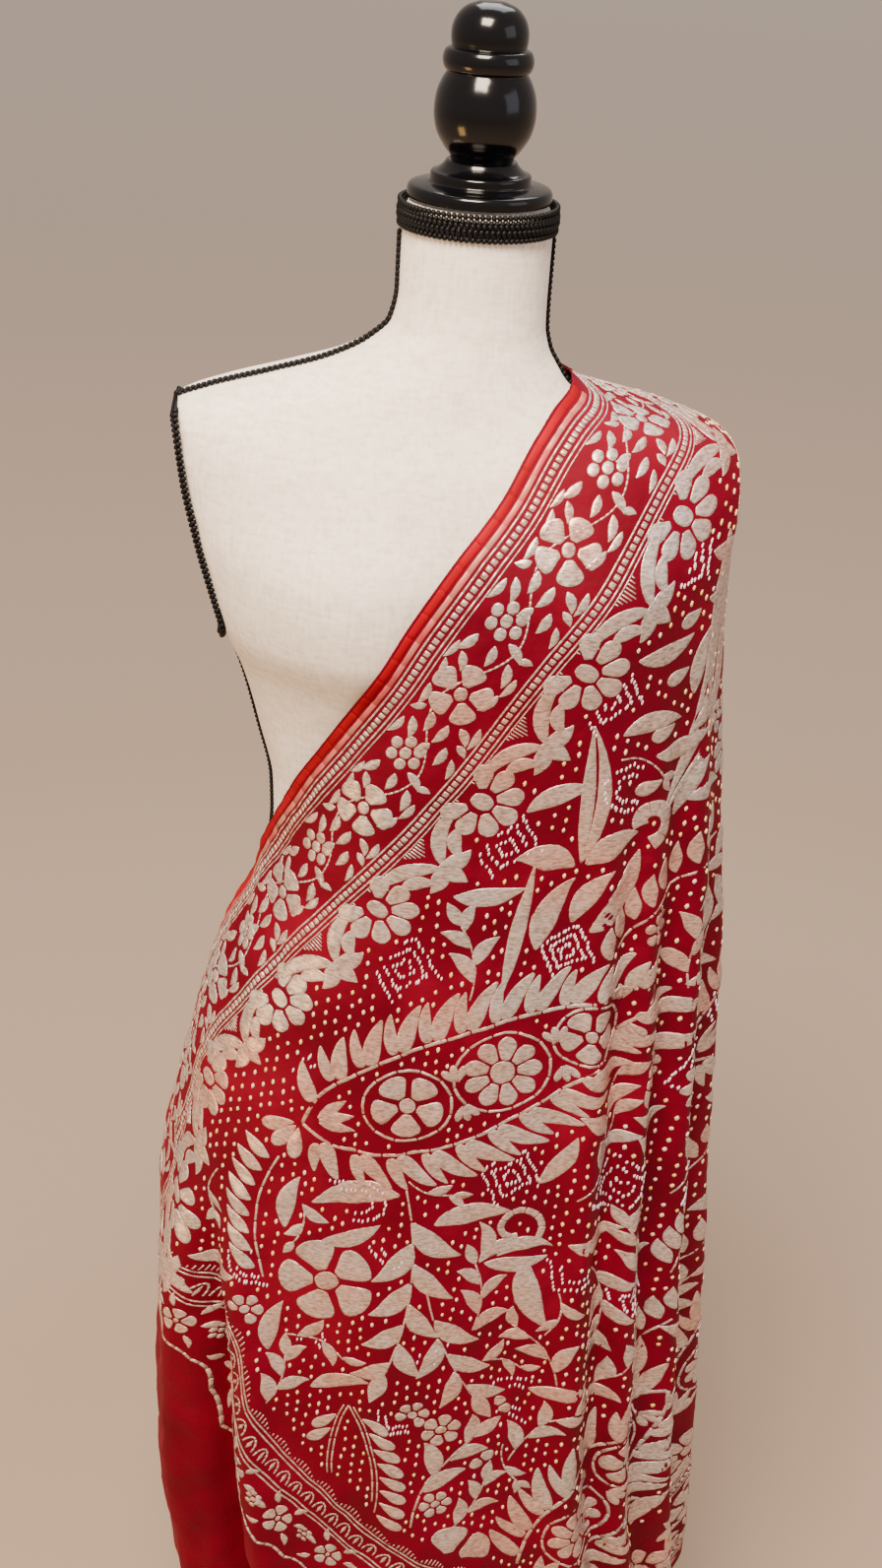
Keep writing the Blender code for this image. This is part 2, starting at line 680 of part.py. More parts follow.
def build_neck():
    """Braid band round the neck, wooden cap and turned finial."""
    top = NECK_TOP
    band = [
        (0.0524, top - 0.0180), (0.0554, top - 0.0160), (0.0560, top - 0.0110),
        (0.0558, top - 0.0060), (0.0546, top - 0.0015), (0.0524, top - 0.0005),
    ]
    sides = 48
    turn = np.arange(sides) * 2 * np.pi / sides
    points = []
    for radius, height in band:
        x = radius * np.cos(turn)
        y = (radius - 0.0014) * np.sin(turn)
        points.append(np.column_stack([x, y, np.full(sides, height)]))
    faces = grid_faces(len(band), sides, wrap_n=True, wrap_m=True)
    faces = [tuple(reversed(face)) for face in faces]
    add_object("neck_braid", np.concatenate(points), faces, "braid_black", (0, 0, top - 0.015))
    cap = [
        (0.0470, top + SEAT), (0.0497, top + 0.0020), (0.0497, top + 0.0065),
        (0.0465, top + 0.0095), (0.0375, top + 0.0110), (0.0345, top + 0.0130),
        (0.0345, top + 0.0165), (0.0318, top + 0.0185), (0.0290, top + 0.0200),
        (0.0262, top + 0.0225), (0.0240, top + 0.0255),
    ]
    turned("neck_cap", cap, "wood_black", (0, 0, top))
    start = top + 0.0255 + SEAT
    finial = [
        (0.0212, 0.0000), (0.0224, 0.0030), (0.0268, 0.0085), (0.0316, 0.0165),
        (0.0340, 0.0255), (0.0343, 0.0340), (0.0330, 0.0430), (0.0300, 0.0505),
        (0.0272, 0.0550), (0.0290, 0.0575), (0.0302, 0.0610), (0.0302, 0.0650),
        (0.0285, 0.0690), (0.0248, 0.0712), (0.0256, 0.0760), (0.0252, 0.0830),
        (0.0222, 0.0900), (0.0165, 0.0955), (0.0085, 0.0985),
    ]
    profile = [(radius, start + height) for radius, height in finial]
    turned("finial", profile, "wood_black", (0, 0, start), sides=36)


def build_stand():
    """Round base with its hub, and the pole up to the torso."""
    base = [
        (BASE_RADIUS - 0.002, 0.0), (BASE_RADIUS, 0.002), (BASE_RADIUS, 0.014),
        (BASE_RADIUS - 0.004, 0.018), (BASE_RADIUS - 0.030, BASE_THICK),
        (HUB_RADIUS + 0.012, 0.028), (HUB_RADIUS, 0.036), (HUB_RADIUS, HUB_TOP - 0.002),
        (HUB_RADIUS - 0.002, HUB_TOP),
    ]
    turned("base", base, "painted_metal_black", (0, 0, 0), sides=64)
    low = HUB_TOP + SEAT
    high = TORSO_BOTTOM - SEAT
    pole = [(POLE_RADIUS, low), (POLE_RADIUS, high)]
    turned("pole", pole, "painted_metal_black", (0, 0, low), sides=32)


def build_cloth():
    """The cloth as one sheet with its thickness added by a solidify modifier."""
    points = cloth_grid(column_places(SPANS), UPPER_ROWS, LOWER_ROWS)
    n, m = points.shape[:2]
    body = points[:, 1:].reshape(-1, 3)
    apex = points[0, 0] + np.array([APEX_LIFT, 0, APEX_LIFT])
    faces = grid_faces(n, m - 1)
    tip = len(body)
    for i in range(n - 1):
        faces.append((i * (m - 1), (i + 1) * (m - 1), tip))
    points = np.concatenate([body, apex[None, :]])
    cloth = add_object("cloth", points, faces, "cloth_red", apex)
    skin = cloth.modifiers.new("sheet thickness", "SOLIDIFY")
    skin.thickness = CLOTH_THICK
    skin.offset = 0
    skin.use_even_offset = True
    skin.use_rim = True
    return cloth


def main():
    """Clear the scene and build every piece."""
    for old in list(bpy.data.objects):
        bpy.data.objects.remove(old, do_unlink=True)
    build_stand()
    build_torso()
    build_neck()
    build_braids(-1, "left")
    build_braids(1, "right")
    build_cloth()


main()
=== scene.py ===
# %% [markdown]
# # A bandhani cloth on its dress form
# The real thing is one length of red silk georgette.  A silver and gold border is woven along
# its edges, large leaves and flowers are woven in the field, and small tied dots fill the rest.
# It hangs over one shoulder of a linen dress form.  The solids of the part already have the
# form and the hang of the cloth.  This script dresses them: it computes the same surfaces on a
# finer grid, lays the woven figures on the cloth as thin patches, and gives each piece the
# material that it really has.

import bpy
import numpy as np
from mathutils import Matrix


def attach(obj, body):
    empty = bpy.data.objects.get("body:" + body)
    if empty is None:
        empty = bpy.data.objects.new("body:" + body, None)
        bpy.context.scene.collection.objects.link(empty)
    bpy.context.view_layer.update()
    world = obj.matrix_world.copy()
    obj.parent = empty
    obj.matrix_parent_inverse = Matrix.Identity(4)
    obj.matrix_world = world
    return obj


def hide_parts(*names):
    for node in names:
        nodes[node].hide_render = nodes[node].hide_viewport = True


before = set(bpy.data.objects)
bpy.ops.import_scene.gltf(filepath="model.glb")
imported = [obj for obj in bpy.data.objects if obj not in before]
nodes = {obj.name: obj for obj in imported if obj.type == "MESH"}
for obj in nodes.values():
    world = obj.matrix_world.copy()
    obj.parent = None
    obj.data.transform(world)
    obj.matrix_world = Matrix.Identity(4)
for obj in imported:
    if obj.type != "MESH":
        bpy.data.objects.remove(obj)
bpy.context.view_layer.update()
print("nodes:", ", ".join(sorted(nodes)))

# %% [markdown]
# ## Sizes and section tables
# The cloth and the form are described by depth below the top of the neck.  Each table gives
# how far a section reaches at that depth, and a smooth curve through the rows does the rest.
# A scan or a cloth simulation could give the same surface, but a table can be read and changed.

# %% Sizes of the form and the cloth, in metres
NECK_TOP = 1.740
TORSO_BOTTOM = NECK_TOP - 0.745
BRAID_SEAT = 0.0005
BRAID_HALF_THICK = 0.0016
ARMHOLE_BRAID_RADIUS = 0.0025
BRAID_CLEARANCE = 0.0052
CLOTH_SEAT = 0.0011

# Sizes of the cloth
CLOTH_THICK = 0.0015
CLOTH_WIDTH = 0.940
CLOTH_FRONT_LENGTH = 1.200
BACK_DROP = 1.030
DRAPE_START = 0.116
LOWEST = 1.720
SELVEDGE_SLOPE = 33.0
END_SLOPE = 33.0
APEX_LIFT = 0.0016

# Depths of the cloth's level upper rows, close together over the shoulder
UPPER_ROWS = np.array([
    0.116, 0.120, 0.126, 0.132, 0.138, 0.145, 0.152, 0.159, 0.167, 0.177, 0.190, 0.210, 0.235,
])


# %% Section tables of the torso and of the hanging cloth

# Depth below the neck's top against reach to either side, front reach, back reach, squareness
TORSO = np.array([
    # depth   left    right   front   back    power
    (0.000, 0.0470, 0.0470, 0.0465, 0.0465, 2.00),
    (0.012, 0.0520, 0.0520, 0.0505, 0.0505, 2.00),
    (0.060, 0.0520, 0.0520, 0.0505, 0.0505, 2.00),
    (0.082, 0.0560, 0.0525, 0.0530, 0.0545, 2.00),
    (0.098, 0.0720, 0.0560, 0.0570, 0.0590, 2.05),
    (0.112, 0.1000, 0.0640, 0.0610, 0.0650, 2.10),
    (0.124, 0.1400, 0.0730, 0.0650, 0.0710, 2.20),
    (0.136, 0.1830, 0.0960, 0.0690, 0.0770, 2.30),
    (0.146, 0.2080, 0.1260, 0.0740, 0.0830, 2.35),
    (0.158, 0.2150, 0.1640, 0.0810, 0.0890, 2.40),
    (0.170, 0.2140, 0.1900, 0.0880, 0.0930, 2.40),
    (0.200, 0.2080, 0.1980, 0.0980, 0.0980, 2.40),
    (0.250, 0.1950, 0.1880, 0.1100, 0.1030, 2.40),
    (0.300, 0.1800, 0.1760, 0.1100, 0.1020, 2.40),
    (0.345, 0.1600, 0.1580, 0.1000, 0.0980, 2.30),
    (0.400, 0.1450, 0.1440, 0.0900, 0.0900, 2.20),
    (0.450, 0.1340, 0.1340, 0.0840, 0.0840, 2.20),
    (0.480, 0.1330, 0.1330, 0.0840, 0.0860, 2.20),
    (0.540, 0.1420, 0.1420, 0.0920, 0.1000, 2.20),
    (0.600, 0.1600, 0.1600, 0.1000, 0.1150, 2.20),
    (0.660, 0.1720, 0.1720, 0.1040, 0.1240, 2.20),
    (0.720, 0.1740, 0.1740, 0.1020, 0.1200, 2.20),
    (0.745, 0.1720, 0.1720, 0.1000, 0.1180, 2.20),
])

# Where the flat arm plates cut the shoulders off
ARM_PLATE = np.array([
    # depth   left    right
    (0.140, 0.2060, 0.1900),
    (0.156, 0.2030, 0.1880),
    (0.200, 0.1965, 0.1860),
    (0.250, 0.1840, 0.1765),
    (0.300, 0.1700, 0.1660),
    (0.320, 0.1720, 0.1690),
])
ARMHOLES = {
    # side: (middle depth, half height)
    -1: (0.2320, 0.0815),
    1: (0.2400, 0.0700),
}

BUST_DEPTH = 0.262
BUST_ANGLE = 37.0
BUST_RISE = 0.022
BUST_SPREAD = 17.0
BUST_HEIGHT = 0.050

# The cloth's hull: reach to either side, to the front and to the back
HULL = np.array([
    # depth   left    right   front   back    power
    (0.110, 0.0500, 0.0550, 0.0400, 0.0400, 2.10),
    (0.150, 0.0900, 0.1300, 0.0780, 0.0850, 2.20),
    (0.170, 0.1000, 0.1800, 0.0900, 0.0950, 2.20),
    (0.200, 0.1000, 0.1980, 0.1100, 0.1050, 2.20),
    (0.242, 0.1100, 0.2030, 0.1260, 0.1140, 2.25),
    (0.300, 0.1100, 0.2070, 0.1310, 0.1200, 2.30),
    (0.455, 0.1240, 0.2230, 0.1240, 0.1280, 2.30),
    (0.520, 0.1400, 0.2300, 0.1230, 0.1320, 2.25),
    (0.615, 0.1790, 0.2390, 0.1280, 0.1400, 2.20),
    (0.696, 0.1980, 0.2450, 0.1340, 0.1450, 2.20),
    (0.816, 0.2220, 0.2540, 0.1430, 0.1500, 2.20),
    (0.900, 0.2360, 0.2620, 0.1500, 0.1520, 2.20),
    (1.045, 0.2400, 0.2740, 0.1600, 0.1560, 2.20),
    (1.164, 0.2400, 0.2830, 0.1680, 0.1600, 2.20),
    (1.264, 0.2320, 0.2920, 0.1740, 0.1620, 2.20),
    (1.422, 0.2220, 0.3020, 0.1800, 0.1640, 2.20),
    (1.720, 0.2150, 0.3080, 0.1820, 0.1660, 2.20),
])

# Angle of each selvedge round the form: 0 is the arm side, -90 the front, 90 the back
FRONT_SELVEDGE = np.array([
    # depth   angle
    (0.116, 0.0),
    (0.119, -24.0),
    (0.124, -43.0),
    (0.136, -57.0),
    (0.156, -70.0),
    (0.179, -80.0),
    (0.217, -96.0),
    (0.257, -107.0),
    (0.304, -117.0),
    (0.358, -133.0),
    (0.419, -152.0),
    (0.469, -166.0),
    (0.510, -175.0),
    (0.550, -180.0),
    (0.600, -184.0),
    (0.700, -194.0),
    (0.800, -206.0),
    (0.900, -220.0),
    (1.000, -234.0),
    (1.100, -246.0),
    (1.250, -250.0),
    (1.720, -250.0),
])
BACK_SELVEDGE = np.array([
    # depth   angle
    (0.116, 0.0),
    (0.119, 24.0),
    (0.124, 43.0),
    (0.136, 57.0),
    (0.156, 66.0),
    (0.190, 72.0),
    (0.250, 75.0),
    (0.500, 77.0),
    (1.100, 82.0),
    (1.720, 83.0),
])

# Lines that the cloth's columns follow: share of the girth from the front selvedge
GUIDES = np.array([
    # depth   pleat  first fold
    (0.116, 0.050, 0.250),
    (0.150, 0.050, 0.220),
    (0.260, 0.050, 0.270),
    (0.370, 0.050, 0.348),
    (0.483, 0.060, 0.414),
    (0.620, 0.100, 0.464),
    (0.767, 0.182, 0.506),
    (0.900, 0.248, 0.540),
    (1.000, 0.290, 0.558),
    (1.120, 0.316, 0.568),
    (1.226, 0.325, 0.570),
    (1.720, 0.330, 0.576),
])

# Folds: place 0 is the front selvedge, 1 the hip pleat, 2 the first fold, 3 the back selvedge
FOLDS = np.array([
    # place  spread   height   starts  full
    (0.300, 0.0260, 0.0090, 0.620, 1.000),
    (0.620, 0.0240, -0.0090, 0.640, 1.000),
    (0.860, 0.0130, 0.0130, 0.760, 1.000),
    (1.000, 0.0105, -0.0270, 0.780, 0.960),
    (1.110, 0.0130, 0.0120, 0.740, 1.000),
    (1.330, 0.0240, -0.0060, 0.620, 1.100),
    (1.560, 0.0280, 0.0060, 0.560, 1.200),
    (1.800, 0.0220, -0.0050, 0.460, 1.100),
    (2.005, 0.0120, 0.0120, 0.230, 0.700),
    (2.058, 0.0110, -0.0120, 0.260, 0.800),
    (2.106, 0.0115, 0.0110, 0.240, 0.640),
    (2.160, 0.0130, -0.0150, 0.250, 0.760),
    (2.215, 0.0120, 0.0120, 0.220, 0.600),
    (2.275, 0.0140, -0.0140, 0.300, 0.900),
    (2.345, 0.0150, 0.0130, 0.260, 0.700),
    (2.410, 0.0150, -0.0150, 0.300, 0.800),
    (2.480, 0.0150, 0.0120, 0.280, 0.750),
    (2.555, 0.0170, -0.0170, 0.300, 0.800),
    (2.640, 0.0180, 0.0140, 0.280, 0.700),
    (2.725, 0.0180, -0.0160, 0.320, 0.850),
    (2.810, 0.0170, 0.0120, 0.300, 0.800),
    (2.900, 0.0180, -0.0120, 0.340, 0.900),
])


# %% [markdown]
# ## The torso's surface
# A dress form is a padded shell.  Its level sections are squared ellipses, a flat plate cuts
# each arm off, and two low bell curves make the bust.  One formula gives the radius in every
# direction, so the linen can be computed as finely as the picture needs.

# %% Radius of the torso

def smooth_table(x, table, column):
    """Read a table column at x along a curve that keeps the table's own rises and falls."""
    xs = table[:, 0]
    ys = table[:, column]
    h = np.diff(xs)
    slope = np.diff(ys) / h
    tangent = np.zeros_like(ys)
    inner = slope[:-1] * slope[1:] > 0
    mean = 3 * (h[:-1] + h[1:])
    low = (2 * h[1:] + h[:-1]) / np.where(inner, slope[:-1], 1)
    high = (h[1:] + 2 * h[:-1]) / np.where(inner, slope[1:], 1)
    tangent[1:-1] = np.where(inner, mean / np.where(inner, low + high, 1), 0)
    tangent[0] = slope[0]
    tangent[-1] = slope[-1]
    x = np.clip(x, xs[0], xs[-1])
    i = np.clip(np.searchsorted(xs, x, side="right") - 1, 0, len(xs) - 2)
    f = (x - xs[i]) / h[i]
    a = (1 + 2 * f) * (1 - f) ** 2
    b = f * (1 - f) ** 2 * h[i]
    c = f * f * (3 - 2 * f)
    d = f * f * (f - 1) * h[i]
    return a * ys[i] + b * tangent[i] + c * ys[i + 1] + d * tangent[i + 1]


def smooth_step(x):
    """Rise from 0 to 1 as x goes from 0 to 1, level at both ends."""
    x = np.clip(x, 0, 1)
    return x * x * (3 - 2 * x)


def plate_reach(side, depth):
    """Reach of one arm plate at a depth, and far off where there is none."""
    column = 1 if side < 0 else 2
    return np.interp(depth, ARM_PLATE[:, 0], ARM_PLATE[:, column], left=1, right=1)


def torso_radius(angle, depth):
    """Radius of the torso: a squared ellipse, cut by the arm plates, with the bust added."""
    left = smooth_table(depth, TORSO, 1)
    right = smooth_table(depth, TORSO, 2)
    front = smooth_table(depth, TORSO, 3)
    back = smooth_table(depth, TORSO, 4)
    power = smooth_table(depth, TORSO, 5)
    half = np.where(np.cos(angle) < 0, left, right)
    reach = np.where(np.sin(angle) < 0, front, back)
    x = np.abs(np.cos(angle))
    y = np.abs(np.sin(angle))
    radius = ((x / half) ** power + (y / reach) ** power) ** (-1 / power)
    for side in (-1, 1):
        centre = np.radians(-90 + side * BUST_ANGLE)
        turn = (angle - centre + np.pi) % (2 * np.pi) - np.pi
        across = np.exp(-0.5 * (turn / np.radians(BUST_SPREAD)) ** 2)
        along = np.exp(-0.5 * ((depth - BUST_DEPTH) / BUST_HEIGHT) ** 2)
        radius = radius + BUST_RISE * across * along
    plate = np.where(np.cos(angle) < 0, plate_reach(-1, depth), plate_reach(1, depth))
    return np.minimum(radius, plate / np.maximum(x, 1e-6))


# %% [markdown]
# ## The hanging cloth's surface
# The cloth lies on the shoulder and the bust, and below them it swings free as a wide hull.
# The hull and the padded torso are blended, and folds are added as bell curves across the
# girth that grow with depth.  Girth is the way round the form from the front's middle.

# %% The hull that the cloth follows

def cloth_gap(angle, depth):
    """Distance from the torso to the middle of the cloth: more where the armhole braid is."""
    thick = CLOTH_THICK / 2
    rest = BRAID_SEAT + 2 * BRAID_HALF_THICK + CLOTH_SEAT + thick
    clear = BRAID_SEAT + 2 * ARMHOLE_BRAID_RADIUS + BRAID_CLEARANCE + thick
    turn = np.abs((angle + np.pi) % (2 * np.pi) - np.pi)
    near = smooth_step((np.radians(62) - turn) / np.radians(24))
    level = smooth_step((depth - 0.128) / 0.022) * smooth_step((0.370 - depth) / 0.05)
    return rest + (clear - rest) * near * level


def cloth_floor(angle, depth):
    """Least radius that the cloth may have: the torso grown by the gap along its normal."""
    gap = cloth_gap(angle, depth)
    radius = torso_radius(angle, depth) + gap
    for lean in (20, 40, 60, 80):
        lift = gap * np.sin(np.radians(lean))
        reach = gap * np.cos(np.radians(lean))
        radius = np.maximum(radius, torso_radius(angle, depth + lift) + reach)
    return np.where(depth > 0.70, radius * smooth_step((0.80 - depth) / 0.10), radius)


def hull_radius(angle, depth):
    """Radius of the unfolded cloth: a squared ellipse blended with the least radius."""
    left = smooth_table(depth, HULL, 1)
    right = smooth_table(depth, HULL, 2)
    front = smooth_table(depth, HULL, 3)
    back = smooth_table(depth, HULL, 4)
    power = smooth_table(depth, HULL, 5)
    side = np.where(np.cos(angle) < 0, left, right)
    reach = np.where(np.sin(angle) < 0, front, back)
    x = np.abs(np.cos(angle))
    y = np.abs(np.sin(angle))
    hull = ((x / side) ** power + (y / reach) ** power) ** (-1 / power)
    least = cloth_floor(angle, depth)
    blend = 0.012 * smooth_step((depth - 0.10) / 0.10) + 0.0005
    gap = np.abs(hull - least) / blend
    return np.maximum(hull, least) + blend * np.exp(-gap) * 0.35


def section_tables(depths, angles):
    """For each depth, the unfolded section's points, outward normals and girth from the front."""
    depth = depths[:, None] + 0 * angles[None, :]
    angle = angles[None, :] + 0 * depth
    radius = hull_radius(angle, depth)
    x = radius * np.cos(angle)
    y = radius * np.sin(angle)
    step = np.hypot(np.diff(x, axis=1), np.diff(y, axis=1))
    girth = np.concatenate([np.zeros((len(depths), 1)), np.cumsum(step, axis=1)], axis=1)
    front = np.argmin(np.abs(angles + np.pi / 2))
    girth = girth - girth[:, front:front + 1]
    tx = np.gradient(x, axis=1)
    ty = np.gradient(y, axis=1)
    size = np.hypot(tx, ty)
    return x, y, ty / size, -tx / size, girth


DEPTHS = DRAPE_START + (LOWEST - DRAPE_START) * np.linspace(0, 1, 391) ** 1.25
ANGLES = np.radians(np.linspace(-256, 96, 1057))
SECTION = section_tables(DEPTHS, ANGLES)
print("section tables:", SECTION[0].shape)


# %% Reading the sections by girth

def read_section(grid, row, column):
    """Read a section table between its rows and columns."""
    r = np.clip(row, 0, grid.shape[0] - 1.001)
    c = np.clip(column, 0, grid.shape[1] - 1.001)
    i = r.astype(int)
    j = c.astype(int)
    f = r - i
    g = c - j
    top = grid[i, j] * (1 - g) + grid[i, j + 1] * g
    low = grid[i + 1, j] * (1 - g) + grid[i + 1, j + 1] * g
    return top * (1 - f) + low * f


def row_of(depth):
    """Row number of a depth in the section tables."""
    return np.interp(depth, DEPTHS, np.arange(len(DEPTHS)))


def column_of(angle):
    """Column number of an angle in the section tables."""
    return np.interp(angle, ANGLES, np.arange(len(ANGLES)))


def girth_at(angle, depth):
    """Girth from the front middle to an angle, along the unfolded section."""
    return read_section(SECTION[4], row_of(depth), column_of(angle))


def angle_column(girth, row):
    """Column of the section tables where each row's girth has the value given."""
    shape = girth.shape
    girth = girth.ravel()
    row = np.clip(row.ravel(), 0, len(DEPTHS) - 1.001)
    low = np.zeros(len(girth))
    high = np.full(len(girth), len(ANGLES) - 1.001)
    for _ in range(26):
        middle = (low + high) / 2
        more = read_section(SECTION[4], row, middle) < girth
        low = np.where(more, middle, low)
        high = np.where(more, high, middle)
    return ((low + high) / 2).reshape(shape)


def selvedge_girths(depth):
    """Girth of the front selvedge and of the back one at a depth."""
    front = np.radians(smooth_table(depth, FRONT_SELVEDGE, 1))
    back = np.radians(smooth_table(depth, BACK_SELVEDGE, 1))
    return girth_at(front, depth), girth_at(back, depth)


# %% Guide lines, folds and hem

def guide_girths(depth):
    """Girths of the lines that the columns follow: selvedge, pleat, first fold, selvedge."""
    corner_girth, corner_depth = CORNER
    front, back = selvedge_girths(depth)
    front = np.where(depth > corner_depth, np.minimum(front, corner_girth), front)
    pleat = front + (back - front) * smooth_table(depth, GUIDES, 1)
    first = front + (back - front) * smooth_table(depth, GUIDES, 2)
    return np.stack([front, pleat, first, back])


def girth_of_place(place, depth, table):
    """Girth at a place between the guide lines, read from their table over DEPTHS."""
    row = row_of(depth)
    span = np.clip(place, 0, 2.999999).astype(int)
    share = place - span
    r = np.clip(row, 0, len(DEPTHS) - 1.001)
    i = r.astype(int)
    f = r - i
    start = table[span, i] * (1 - f) + table[span, i + 1] * f
    stop = table[span + 1, i] * (1 - f) + table[span + 1, i + 1] * f
    return start + (stop - start) * share


def fold_offset(girth, depth):
    """Sum of the folds: each a bell curve across, growing with depth."""
    total = np.zeros_like(girth)
    for place, spread, height, starts, full in FOLDS:
        middle = girth_of_place(place + 0 * depth, depth, GUIDE_LINES)
        grow = smooth_step((depth - starts) / (full - starts))
        total = total + height * grow * np.exp(-0.5 * ((girth - middle) / spread) ** 2)
    return total


def hem_depth(girth, corner_girth, corner_depth):
    """Depth of the hem: the end's slope, then the lower selvedge's rise to the back's hem."""
    end = corner_depth + (girth - corner_girth) * np.tan(np.radians(END_SLOPE))
    low_girth = corner_girth + CLOTH_WIDTH * np.cos(np.radians(END_SLOPE))
    low_depth = corner_depth + CLOTH_WIDTH * np.sin(np.radians(END_SLOPE))
    rise = low_depth - (girth - low_girth) / np.tan(np.radians(SELVEDGE_SLOPE))
    back = DRAPE_START + BACK_DROP
    return np.minimum(end, np.maximum(rise, back))


def find_corner():
    """Girth and depth where the front selvedge has run the cloth's front length."""
    depth = np.linspace(DRAPE_START, 1.30, 600)
    girth, _ = selvedge_girths(depth)
    run = np.concatenate([[0], np.cumsum(np.hypot(np.diff(depth), np.diff(girth)))])
    at = np.interp(CLOTH_FRONT_LENGTH, run, depth)
    return np.interp(at, depth, girth), at


def surface_points(girth, depth):
    """Folded sheet's points at a girth and depth: the hull moved along its level normal."""
    row = row_of(depth)
    column = angle_column(girth, row)
    x, y, nx, ny = (read_section(SECTION[k], row, column) for k in range(4))
    offset = fold_offset(girth, depth)
    x = x + nx * offset
    y = y + ny * offset
    angle = np.arctan2(y, x)
    radius = np.hypot(x, y)
    wanted = np.maximum(radius, cloth_floor(angle, depth))
    return np.stack([x * wanted / radius, y * wanted / radius, NECK_TOP - depth], axis=-1)


CORNER = find_corner()
GUIDE_LINES = guide_girths(DEPTHS)
print("corner of the cloth's end: girth %.3f, depth %.3f" % CORNER)


# %% [markdown]
# ## A chart of the folded cloth
# The woven figures are drawn flat, in girth and depth, and then laid on the cloth.  For that
# the folded surface is computed once on a fine grid, with its outward normals, and every
# later piece reads its points from this chart.  Bandhani cloth keeps small puckers from its
# ties, so a few crossed ripples are added where the cloth hangs free.

# %% Puckers of the tied cloth
RIPPLES = np.array([
    # pitch   turn    phase   height
    (0.0310, 12.0, 0.3, 0.00045),
    (0.0230, -38.0, 1.7, 0.00035),
    (0.0470, 64.0, 4.1, 0.00055),
    (0.0780, -17.0, 2.2, 0.00080),
    (0.0175, 81.0, 5.0, 0.00022),
])


def puckers(girth, depth):
    """Sum of crossed sine ripples, each bent by a slow wave, growing below the shoulder."""
    total = np.zeros_like(girth)
    slow = np.sin(girth * 23 + 1.3) * np.cos(depth * 17 + 0.4)
    for pitch, turn, phase, height in RIPPLES:
        way = girth * np.cos(np.radians(turn)) + depth * np.sin(np.radians(turn))
        total = total + height * np.sin(2 * np.pi * way / pitch + phase + 2.4 * slow)
    return total * smooth_step((depth - 0.20) / 0.35)


# %% The chart itself
CHART_STEP = 0.0023
CHART_GIRTH = np.arange(-0.630, 0.760, CHART_STEP)
CHART_DEPTH = np.concatenate([np.arange(0.1165, 0.20, 0.0010), np.arange(0.20, 1.66, 0.0027)])


def chart_normals(points):
    """Outward unit normals: the way down crossed with the way along the girth."""
    down = np.gradient(points, axis=1)
    along = np.gradient(points, axis=0)
    normal = np.cross(down, along)
    return normal / np.maximum(np.linalg.norm(normal, axis=-1, keepdims=True), 1e-15)


def make_chart():
    """Points and normals of the folded, puckered sheet over the girth and depth axes."""
    girth, depth = np.meshgrid(CHART_GIRTH, CHART_DEPTH, indexing="ij")
    points = surface_points(girth, depth)
    points = points + chart_normals(points) * puckers(girth, depth)[..., None]
    return np.concatenate([points, chart_normals(points)], axis=-1)


CHART = make_chart()
print("chart:", CHART.shape)


def chart_place(girth):
    """Where a girth lies on the chart, in steps from its first column."""
    return np.clip((girth - CHART_GIRTH[0]) / CHART_STEP, 0, len(CHART_GIRTH) - 1.001)


def between(table, i, j):
    """Values of a table at places between its cells."""
    a, b = i.astype(int), j.astype(int)
    f, g = i - a, j - b
    if table.ndim > 2:
        f, g = f[..., None], g[..., None]
    upper = table[a, b] * (1 - f) + table[a + 1, b] * f
    lower = table[a, b + 1] * (1 - f) + table[a + 1, b + 1] * f
    return upper * (1 - g) + lower * g


def on_cloth(girth, depth, height):
    """Points at a height above the sheet's middle, read from the chart between its cells."""
    j = np.clip(np.interp(depth, CHART_DEPTH, np.arange(len(CHART_DEPTH))), 0, None)
    both = between(CHART, chart_place(girth), np.minimum(j, len(CHART_DEPTH) - 1.001))
    return both[..., :3] + both[..., 3:] * np.asarray(height)[..., None]


# %% Depth along the cloth over the shoulder
# Over the shoulder the cloth runs nearly level, so its own length is much more than the depth
# that it loses there.  The drawing is measured along the cloth, and this table turns it back.
LENGTH_MARK = int(np.searchsorted(CHART_DEPTH, 0.215))
LENGTH_STEP = 0.002
LAST_LENGTH = 0.214
CLOTH_DEPTH = np.arange(-0.160, 0.216, LENGTH_STEP)


def make_run_table():
    """For each girth and depth above the mark, the mark's depth less the cloth's length to it."""
    level = CHART[:, :LENGTH_MARK + 1, :3]
    step = np.linalg.norm(np.diff(level, axis=1), axis=2)
    above = np.cumsum(step[:, ::-1], axis=1)[:, ::-1]
    return CHART_DEPTH[LENGTH_MARK] - np.concatenate([above, np.zeros((len(above), 1))], axis=1)


RUN_TABLE = make_run_table()
LEVELS = CHART_DEPTH[:LENGTH_MARK + 1]
DEPTH_TABLE = np.stack([np.interp(CLOTH_DEPTH, line, LEVELS, left=0.10) for line in RUN_TABLE])


def cloth_depth(girth, depth):
    """Length along the cloth of points given by girth and depth: the table read the other way."""
    j = np.clip(np.interp(depth, LEVELS, np.arange(len(LEVELS))), 0, len(LEVELS) - 1.001)
    return np.where(depth > LEVELS[-1], depth, between(RUN_TABLE, chart_place(girth), j))


def true_depth(girth, depth):
    """Depth of points given by girth and length along the cloth, read between table cells."""
    j = np.clip((depth - CLOTH_DEPTH[0]) / LENGTH_STEP, 0, len(CLOTH_DEPTH) - 1.001)
    return np.where(depth > LAST_LENGTH, depth, between(DEPTH_TABLE, chart_place(girth), j))


# %% [markdown]
# ## Materials
# Colours are picked as screen colours and turned to linear light by one function.  Patterns
# read Object coordinates in metres, so a thread spacing can be given in millimetres.

